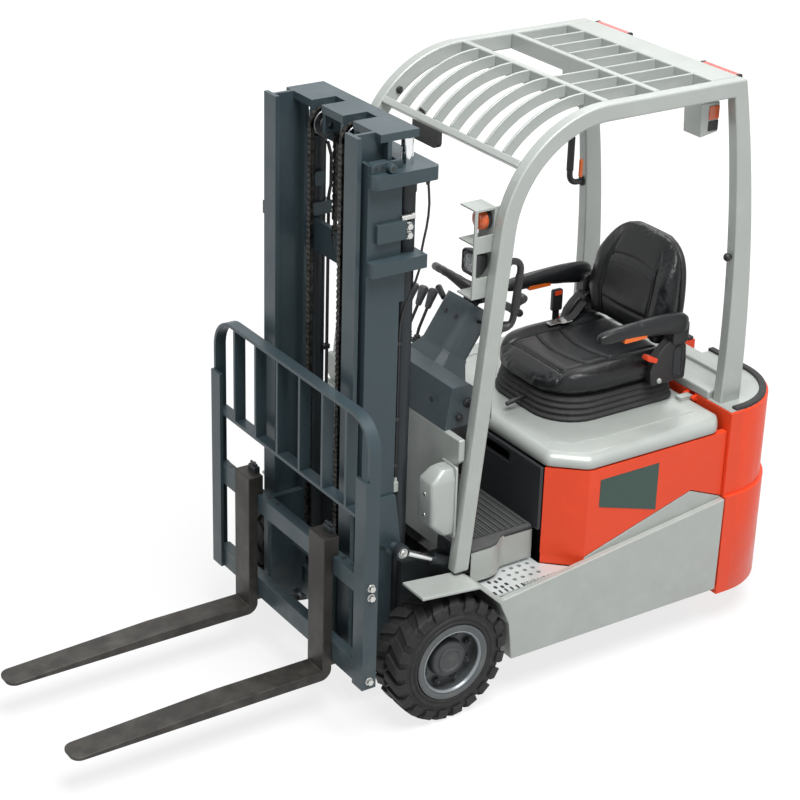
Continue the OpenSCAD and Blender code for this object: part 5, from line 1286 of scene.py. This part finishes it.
def add_rear_lamps():
    """Bars of lamps across the roof's rear edge, with end caps and turn lamps."""
    low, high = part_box("rear_lamps")
    bars = Shape().slab((low.x + 0.001, low.z), (high.x, high.z - 0.001), 0.006, 0.204, 0.374, "y")
    caps = Shape()
    for inner, outer in ((0.194, 0.204), (0.374, 0.384)):
        caps.slab((low.x, low.z - 0.001), (high.x + 0.001, high.z), 0.007, inner, outer, "y")
    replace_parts(bars.mirrored().done("rear_lamp_bars", "chassis", RED_LENS, 0.002), "rear_lamps")
    caps.mirrored().done("rear_lamp_caps", "chassis", BLACK, 0.002)
    amber = Shape().slab((low.x - 0.0006, low.z + 0.004), (low.x + 0.004, high.z - 0.005), 0.002,
                         0.306, 0.370, "y")
    amber.mirrored().done("rear_turn_lamps", "chassis", AMBER, 0.001)


def add_mirror():
    low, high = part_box("mirror_back")
    mid = (low + high) / 2
    glass = Shape().slab((low.y + 0.008, low.z + 0.008), (high.y - 0.008, high.z - 0.008), 0.012,
                         low.x - 0.0012, low.x + 0.002, "x")
    glass.done("mirror_glass", "chassis", MIRROR)
    arm = Shape().tube([(mid.x + 0.006, mid.y, high.z - 0.01), (mid.x + 0.010, mid.y, high.z + 0.02),
                        (mid.x + 0.03, mid.y, high.z + 0.036)], 0.007)
    arm.done("mirror_arm", "chassis", BLACK)


# Body panels, steps and floor

mat_low, mat_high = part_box("floor_mat")
RIB_PITCH = 0.0125


def add_mat_ribs():
    """Ribs moulded across the floor mat."""
    ribs = Shape()
    count = int((mat_high.x - mat_low.x - 0.02) / RIB_PITCH)
    for i in range(count):
        x = mat_low.x + 0.016 + RIB_PITCH * i
        half = mat_high.y - 0.012
        if x > mat_high.x - 0.06:
            half -= 0.05
        ribs.prism([(x - 0.0036, mat_high.z - 0.001), (x + 0.0036, mat_high.z - 0.001),
                    (x + 0.002, mat_high.z + 0.0026), (x - 0.002, mat_high.z + 0.0026)], -half, half, "y")
    ribs.done("floor_mat_ribs", "chassis", MAT)


STEP_TOP = 0.417
STEP_TEETH = 15


def add_step_teeth():
    """A saw-tooth grip along the outer edge of the steps."""
    low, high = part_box("steps")
    teeth = Shape()
    for i in range(STEP_TEETH):
        x = low.x + 0.03 + (high.x - low.x - 0.06) * i / (STEP_TEETH - 1)
        teeth.prism([(x - 0.006, STEP_TOP), (x + 0.006, STEP_TOP), (x + 0.003, STEP_TOP + 0.006),
                     (x - 0.003, STEP_TOP + 0.006)], high.y - 0.016, high.y - 0.001, "y")
    teeth.mirrored().done("step_teeth", "chassis", SILVER, 0.001, 1)


def add_badges():
    """Blank plates on the red covers."""
    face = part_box("red_covers")[1].y
    outline = [(-0.76, 0.560), (-0.50, 0.640), (-0.50, 0.745), (-0.76, 0.745)]
    plate = Shape().prism(outline, face - 0.001, face + 0.0016, "y")
    plate.mirrored().done("blank_badges", "chassis", BADGE, 0.003)


add_levers()
add_steering_wheel()
add_stalks()
add_dash_plugs()
add_dash_controls()
add_collar()
add_pedals()
add_turn_lamps()
add_headlamps()
add_rear_lamps()
add_mirror()
add_mat_ribs()
add_step_teeth()
add_badges()


# Carriage, backrest and forks

FORK_SIDE = 0.25
NOTCH_PITCH = 0.054


def add_fork_latches():
    """The latch on each fork's hook, with its pin and handle."""
    latches = Shape()
    for side in (-1, 1):
        y = side * FORK_SIDE
        latches.slab((0.424, 0.668), (0.447, 0.712), 0.006, y - 0.022, y + 0.022, "y")
        latches.rod((0.436, y, 0.700), (0.436, y, 0.722), 0.008)
        latches.tube([(0.436, y - 0.02, 0.718), (0.436, y + 0.02, 0.718)], 0.005)
    latches.done("fork_latches", "carriage", FRAME_PAINT, 0.002)


def add_notch_shade():
    """Dark marks of painted shade on the upper bar where its locking notches are."""
    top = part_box("carriage")[1].z
    notches = Shape()
    for i in range(-8, 9):
        y = i * NOTCH_PITCH
        if abs(i) > 1:
            notches.slab((0.413, y - 0.008), (0.431, y + 0.008), 0.004, top - 0.0004, top + 0.0006, "z")
    notches.done("carriage_notch_shade", "carriage", DARK)


def add_backrest_bolts():
    """Bolts that hold the load backrest to the carriage."""
    bolts = Shape()
    for z in (0.245, 0.565, 0.600):
        bolts.bolt((0.434, 0.508, z), Y, 0.020)
    for z in (0.24, 0.26, 0.575, 0.598):
        bolts.bolt((0.409, 0.44, z), (-1, 0, 0), 0.016)
    bolts.mirrored().done("backrest_bolts", "carriage", STEEL, 0.001, 1)


def add_fork_hooks():
    """Lower hooks of the forks, under the carriage's lower bar."""
    hooks = Shape()
    for side in (-1, 1):
        y = side * FORK_SIDE
        hooks.prism([(0.420, 0.205), (0.449, 0.205), (0.449, 0.190), (0.405, 0.190), (0.405, 0.226),
                     (0.412, 0.226)], y - 0.04, y + 0.04, "y")
    hooks.done("fork_hooks", "carriage", FORK_STEEL, 0.002)


add_fork_latches()
add_notch_shade()
add_backrest_bolts()
add_fork_hooks()


# Sheet metal and trim over the body

def inset_corners(points, by):
    """Corners of a convex outline, counter-clockwise, moved in from its edges."""
    corners = []
    for i, (x, y) in enumerate(points):
        before, after = points[i - 1], points[(i + 1) % len(points)]
        a = Vector((x - before[0], y - before[1])).normalized()
        b = Vector((after[0] - x, after[1] - y)).normalized()
        share = by / (1 + a.dot(b))
        corners.append((x - share * (a.y + b.y), y + share * (a.x + b.x)))
    return corners


def rounded(points, radius, steps=6):
    """A convex outline, counter-clockwise, with round corners."""
    outline = []
    for i, centre in enumerate(inset_corners(points, radius)):
        x, y = points[i]
        before, after = points[i - 1], points[(i + 1) % len(points)]
        start = math.degrees(math.atan2(before[0] - x, y - before[1]))
        end = math.degrees(math.atan2(x - after[0], after[1] - y))
        outline += arc(centre, radius, start, start + (end - start) % 360, steps)
    return outline


def plan_ring(points, inset, radius, z):
    return [Vector((x, y, z)) for x, y in rounded(inset_corners(points, inset), max(radius - inset, 0.004))]


hood_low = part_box("hood")[0]
HOOD_TOP = 0.842
HOOD_TAIL = -1.047
HOOD_ROUND = 0.040
HINGE = Vector((-1.061, 0, 0.847))


def hood_ring(inset, z):
    """The hood's plan, in from its front and sides."""
    tail = HOOD_TAIL - inset
    plan = [(tail, -0.505), (-0.450, -0.505), (-0.335, -0.402), (-0.335, 0.402), (-0.450, 0.505),
            (tail, 0.505)]
    return plan_ring(plan, inset, 0.05, z)


def add_hood():
    """The hood over the battery: a tray with a soft shoulder, and its hinge knuckles."""
    rings = [hood_ring(0.040, hood_low.z + 0.026), hood_ring(0.040, hood_low.z),
             hood_ring(0.003, hood_low.z), hood_ring(0.0, hood_low.z + 0.003)]
    for i in range(9):
        turn = math.radians(90 * i / 8)
        rings.append(hood_ring(HOOD_ROUND * (1 - math.cos(turn)), HOOD_TOP - 0.030 * (1 - math.sin(turn))))
    shape = Shape().loft(rings)
    for side in (-1, 1):
        start, end = HINGE + Vector((0, side * 0.285, 0)), HINGE + Vector((0, side * 0.315, 0))
        shape.rod(start, end, 0.009)
        shape.box((HINGE.x, min(start.y, end.y), HOOD_TOP - 0.002),
                  (-1.007, max(start.y, end.y), HINGE.z + 0.009))
    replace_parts(shape.done("hood_skin", "hood", SILVER, sharp=50), "hood")
    seam = Shape()
    line = ((-0.99, 0.40), (-0.60, 0.40), (-0.46, 0.385), (-0.40, 0.32))
    seam.tube([(x, y, HOOD_TOP) for x, y in line], 0.0035, 8)
    seam.mirrored().done("hood_pressed_lines", "hood", SILVER)


def add_rear_cover():
    """Sheet cover over the counterweight, up to the rubber trim round its edge."""
    half, tail, corner = 0.510, -1.385, 0.260
    outline = [(-1.074, -half)]
    for y in (-0.300, 0.300):
        outline += [(-1.074, y - 0.038), (-1.100, y - 0.038), (-1.100, y + 0.038), (-1.074, y + 0.038)]
    outline += [(-1.074, half)]
    outline += arc((tail + corner, half - corner), corner, 90, 180, 12)
    outline += [(tail, 0.060), (-1.326, 0.060), (-1.326, -0.060), (tail, -0.060)]
    outline += arc((tail + corner, corner - half), corner, 180, 270, 12)
    cover = Shape().prism(outline, 0.8615, 0.8665, "z")
    cover.done("counterweight_cover", "chassis", SILVER, 0.002)


RISER_PATH = [(-0.030, 0.416), (-0.110, 0.416), (-0.140, 0.409), (-0.162, 0.392), (-0.180, 0.376),
              (-0.200, 0.370), (-0.318, 0.369)]


def add_floor_sides():
    """Risers and mat edges beside the floor, plates ahead of the steps, cover skirts, and dark patches of
    painted shade for the plates' holes and the edge slots.
    """
    risers = Shape()
    back = [(x, y - 0.004) for x, y in RISER_PATH[::-1]]
    risers.prism(RISER_PATH + back, 0.4305, 0.5475, "z")
    risers.mirrored().done("floor_risers", "chassis", SILVER, 0.0012, 1)
    lips = Shape().prism(RISER_PATH + [(-0.318, 0.355), (-0.030, 0.355)], 0.5475, 0.5585, "z")
    lips.mirrored().done("floor_mat_sides", "chassis", MAT, 0.003)
    leads = Shape().slab((-0.180, 0.366), (-0.066, 0.5045), 0.006, 0.4052, 0.4168, "z")
    leads.mirrored().done("step_lead_plates", "chassis", STEP_LIT_SILVER, 0.0015)
    # painted shade: dark patches where the lead plates' holes are
    holes = Shape()
    for i, x in enumerate((-0.105, -0.128, -0.151)):
        for y in (0.424, 0.462):
            holes.slab((x - 0.006, y + 0.008 * (i % 2) - 0.009), (x + 0.006, y + 0.008 * (i % 2) + 0.009),
                       0.0055, 0.4164, 0.4173, "z")
    holes.mirrored().done("step_lead_hole_shade", "chassis", DARK)
    skirts = Shape().prism([(-0.3365, 0.4025), (-0.4505, 0.5045), (-0.4560, 0.5005), (-0.3415, 0.3980)],
                           0.4175, 0.4590, "z")
    skirts.mirrored().done("cover_skirts", "chassis", RED, 0.0012)
    slots = Shape()
    # painted shade: dark patches where the slots along the step's edge are
    for i in range(15):
        x = -0.080 - 0.0235 * i
        slots.slab((x - 0.004, 0.484), (x + 0.004, 0.5046), 0.0025, 0.4160, 0.4176, "z")
    slots.mirrored().done("step_edge_slot_shade", "chassis", DARK)


def add_pods():
    """Pillow-shaped covers on the front cowl, each with a flange behind it."""
    low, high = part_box("side_pods")
    wide = 0.090
    shape = Shape()
    rings = []
    for z, front, side in ((low.z, 0.058, 0.012), (low.z + 0.010, 0.045, 0.004),
                           (low.z + 0.050, 0.006, 0.0), (low.z + 0.060, 0.0, 0.0),
                           (high.z - 0.045, 0.0, 0.0), (high.z - 0.035, 0.004, 0.001),
                           (high.z - 0.008, 0.034, 0.010), (high.z, 0.046, 0.018)):
        ends = (low.x, high.y - wide + side), (high.x - front, high.y - side)
        rings.append([Vector((x, y, z)) for x, y in round_rect(*ends, 0.016)])
    shape.loft(rings)
    shape.slab((high.y - wide - 0.002, low.z - 0.012), (high.y + 0.001, high.z + 0.006), 0.010,
               low.x, low.x + 0.008, "x")
    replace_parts(shape.mirrored().done("side_pod_shells", "chassis", SILVER, 0.005, 3, 50), "side_pods")
    dents = Shape()
    for z in (low.z + 0.085, high.z - 0.085):
        dents.lathe([(0, 0.007), (0.002, 0.006), (0.0028, 0.003)],
                    (high.x - 0.0004, high.y - wide / 2, z), X, 20)
    dents.mirrored().done("side_pod_screws", "chassis", STEEL)


def add_roof_fittings():
    """Lamp cases under the roof's rear corners, two knobs on the guard and the rear handle's marker."""
    cases = Shape().prism([(-1.000, 1.880), (-0.925, 1.868), (-0.918, 1.985), (-1.000, 1.985)],
                          0.292, 0.380, "y")
    cases.mirrored().done("rear_lamp_cases", "chassis", SILVER, 0.003)
    for name, finish, low, high, proud in (("rear_case_lenses", AMBER, 1.926, 1.974, 0.0035),
                                           ("rear_case_lamps", BLACK, 1.886, 1.922, 0.0025)):
        lamp = Shape().slab((-0.9985, low), (-0.955, high), 0.004, 0.376, 0.380 + proud, "y")
        lamp.slab((0.302, low), (0.370, high), 0.006, -1.0005 - proud, -0.998, "x")
        lamp.mirrored().done(name, "chassis", finish, 0.002)
    knob = Shape().lathe([(0, 0.007), (0.006, 0.007), (0.008, 0.013), (0.018, 0.015), (0.024, 0.011),
                          (0.026, 0.004)], (-1.0815, 0.418, 1.425), X, 28)
    knob.lathe([(0, 0.013), (0.004, 0.013), (0.007, 0.009), (0.008, 0.003)], (-0.225, -0.392, 1.930), Y, 28)
    knob.done("guard_knobs", "chassis", BLACK)
    marker = Shape().slab((-1.058, 1.47), (-1.046, 1.54), 0.004, -0.40, -0.39, "y")
    marker.done("rear_handle_marker", "chassis", MARKER, 0.001)


def add_tilt_ends():
    """Painted rod ends over the tilt rods, and the bolts that hold their pins."""
    pin = Vector((0.225, 0.365, 0.605))
    eyes = Shape().lathe([(-0.0155, 0.0168), (-0.0155, 0.0268), (0.0155, 0.0268), (0.0155, 0.0168)],
                         pin, Y, 40, True)
    eyes.mirrored().done("tilt_rod_ends", "tilt_rods", FRAME_PAINT, 0.002)
    bolts = Shape().lathe([(0, 0.0135), (0.003, 0.0135), (0.0045, 0.011)],
                          pin + Vector((0, 0.0148, 0)), Y, 28)
    bolts.bolt(pin + Vector((0, 0.0185, 0)), Y, 0.014)
    bolts.mirrored().done("tilt_pin_bolts", "mast_outer", STEEL, 0.0006, 1)


# corners of each handle, from its upper foot to its lower one
HANDLES = (((-0.119, 0.416, 1.5935), (-0.1765, 0.416, 1.5890),
            (-0.1495, 0.416, 1.3587), (-0.0947, 0.416, 1.3627)),
           ((-1.0594, -0.416, 1.676), (-1.0176, -0.416, 1.676),
            (-1.0176, -0.416, 1.444), (-1.0802, -0.416, 1.444)))


def bent(corners, radius, steps=6):
    """A path through corners that bends round each of them."""
    path = [Vector(corners[0])]
    for before, at, after in zip(corners, corners[1:], corners[2:]):
        at = Vector(at)
        start = at + (Vector(before) - at).normalized() * radius
        end = at + (Vector(after) - at).normalized() * radius
        for i in range(steps + 1):
            t = i / steps
            path.append(start * (1 - t) ** 2 + at * (2 * t * (1 - t)) + end * t ** 2)
    return path + [Vector(corners[-1])]


def add_handles():
    """Round bar handles on the left front pillar and the right rear pillar, each in a plastic sleeve."""
    bars = Shape()
    sleeves = Shape()
    for corners in HANDLES:
        bars.tube(bent(corners, 0.040), 0.0115, 14)
        top, foot = Vector(corners[1]), Vector(corners[2])
        sleeves.tube([top.lerp(foot, 0.22), top.lerp(foot, 0.78)], 0.0135, 16)
        for end in (corners[0], corners[3]):
            towards = (Vector(corners[1]) - Vector(corners[0])).normalized()
            sleeves.rod(Vector(end), Vector(end) + towards * 0.005, 0.019)
    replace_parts(bars.done("grab_bars", "chassis", BLACK), "grab_handles")
    sleeves.done("grab_sleeves", "chassis", RUBBER, 0.001)


add_hood()
add_rear_cover()
add_floor_sides()
add_pods()
add_roof_fittings()
add_handles()
add_tilt_ends()


# Camera, light and floor

CAMERA_AT = Vector((3.638, 5.369, 4.052))
CAMERA_TARGET = Vector((0.1149, 0.078, 1.0861))
CAMERA_ROLL = math.radians(1.53)
LENS_MM = 93.78
FRAME_SHIFT = (0.0187, -0.022)


def add_camera():
    data = bpy.data.cameras.new("camera")
    data.lens = LENS_MM
    data.sensor_width = 36.0
    data.shift_x, data.shift_y = FRAME_SHIFT
    camera = bpy.data.objects.new("camera", data)
    bpy.context.scene.collection.objects.link(camera)
    look = (CAMERA_TARGET - CAMERA_AT).normalized()
    right = look.cross(Vector((0, 0, 1))).normalized()
    up = right.cross(look)
    turned = right * math.cos(CAMERA_ROLL) + up * math.sin(CAMERA_ROLL)
    camera.matrix_world = Matrix.Translation(CAMERA_AT) @ Matrix(
        (turned, turned.cross(look), -look)).transposed().to_4x4()
    bpy.context.scene.camera = camera


# name, place, width and watts of each lamp
LAMPS = (("key", (0.4, 3.4, 9.6), 6.0, 1150), ("front", (6.0, 0.5, 4.0), 4.0, 40),
         ("back", (-4.6, -4.4, 7.6), 3.0, 140))
LAMPS_FACE = Vector((0, 0, 0.8))


def add_light(name, at, size, power):
    data = bpy.data.lights.new(name, "AREA")
    data.shape = "DISK"
    data.size = size
    data.energy = power
    light = bpy.data.objects.new(name, data)
    light.location = at
    light.rotation_euler = (LAMPS_FACE - Vector(at)).to_track_quat("-Z", "Y").to_euler()
    bpy.context.scene.collection.objects.link(light)


def seen_directly(tree):
    """1 for rays from the camera, mirrors and glass, 0 for the light that falls on things."""
    path = tree.nodes.new("ShaderNodeLightPath").outputs
    total = path["Is Camera Ray"]
    for name in ("Is Glossy Ray", "Is Transmission Ray"):
        total = add_node(tree, "ShaderNodeMath", {0: total, 1: path[name]}, operation="MAXIMUM").outputs[0]
    return total


def mix_shaders(tree, share, first, second):
    return add_node(tree, "ShaderNodeMixShader", {0: share, 1: first, 2: second}).outputs[0]


WHITE = (1.0, 1.0, 1.0, 1.0)
FILL_TINT = (0.95, 0.98, 1.0, 1.0)
WORLD_FILL = 0.28
FLOOR_GLOW = 0.70
GLOW_STRENGTH = 1.13
FLOOR_SIZE = 60.0
FLOOR_GREY = (0.65, 0.65, 0.65, 1.0)
# the floor turns wholly white between these distances from the middle
FLOOR_FADE = (2.0, 4.5)


def add_world():
    world = bpy.data.worlds.new("studio")
    bpy.context.scene.world = world
    world.use_nodes = True
    tree = world.node_tree
    fill = add_node(tree, "ShaderNodeBackground", {"Color": FILL_TINT, "Strength": WORLD_FILL})
    white = add_node(tree, "ShaderNodeBackground", {"Color": WHITE})
    mixed = mix_shaders(tree, seen_directly(tree), fill.outputs[0], white.outputs[0])
    tree.links.new(mixed, tree.nodes["World Output"].inputs["Surface"])


def far_glow(tree):
    """The floor's own white: part of what is seen near the truck, all of it further off."""
    place = tree.nodes.new("ShaderNodeTexCoord").outputs["Object"]
    length = add_node(tree, "ShaderNodeVectorMath", {0: place}, operation="LENGTH").outputs["Value"]
    values = {"Value": length, "From Min": FLOOR_FADE[0], "From Max": FLOOR_FADE[1], "To Min": FLOOR_GLOW}
    return add_node(tree, "ShaderNodeMapRange", values).outputs["Result"]


def add_floor():
    mesh = bpy.data.meshes.new("floor")
    half = FLOOR_SIZE / 2
    mesh.from_pydata([(-half, -half, 0), (half, -half, 0), (half, half, 0), (-half, half, 0)], [],
                     [(0, 1, 2, 3)])
    floor = bpy.data.objects.new("floor", mesh)
    bpy.context.scene.collection.objects.link(floor)
    mat = bpy.data.materials.new("floor_white")
    mat.use_nodes = True
    tree = mat.node_tree
    tree.nodes.remove(tree.nodes["Principled BSDF"])
    matt = add_node(tree, "ShaderNodeBsdfDiffuse", {"Color": FLOOR_GREY}).outputs[0]
    glow = add_node(tree, "ShaderNodeEmission", {"Strength": GLOW_STRENGTH}).outputs[0]
    half_glow = mix_shaders(tree, far_glow(tree), matt, glow)
    mixed = mix_shaders(tree, seen_directly(tree), matt, half_glow)
    tree.links.new(mixed, tree.nodes["Material Output"].inputs["Surface"])
    mesh.materials.append(mat)


def add_stage():
    add_camera()
    add_world()
    add_floor()
    for lamp in LAMPS:
        add_light(*lamp)
    bpy.context.scene.view_settings.view_transform = "Standard"


add_stage()
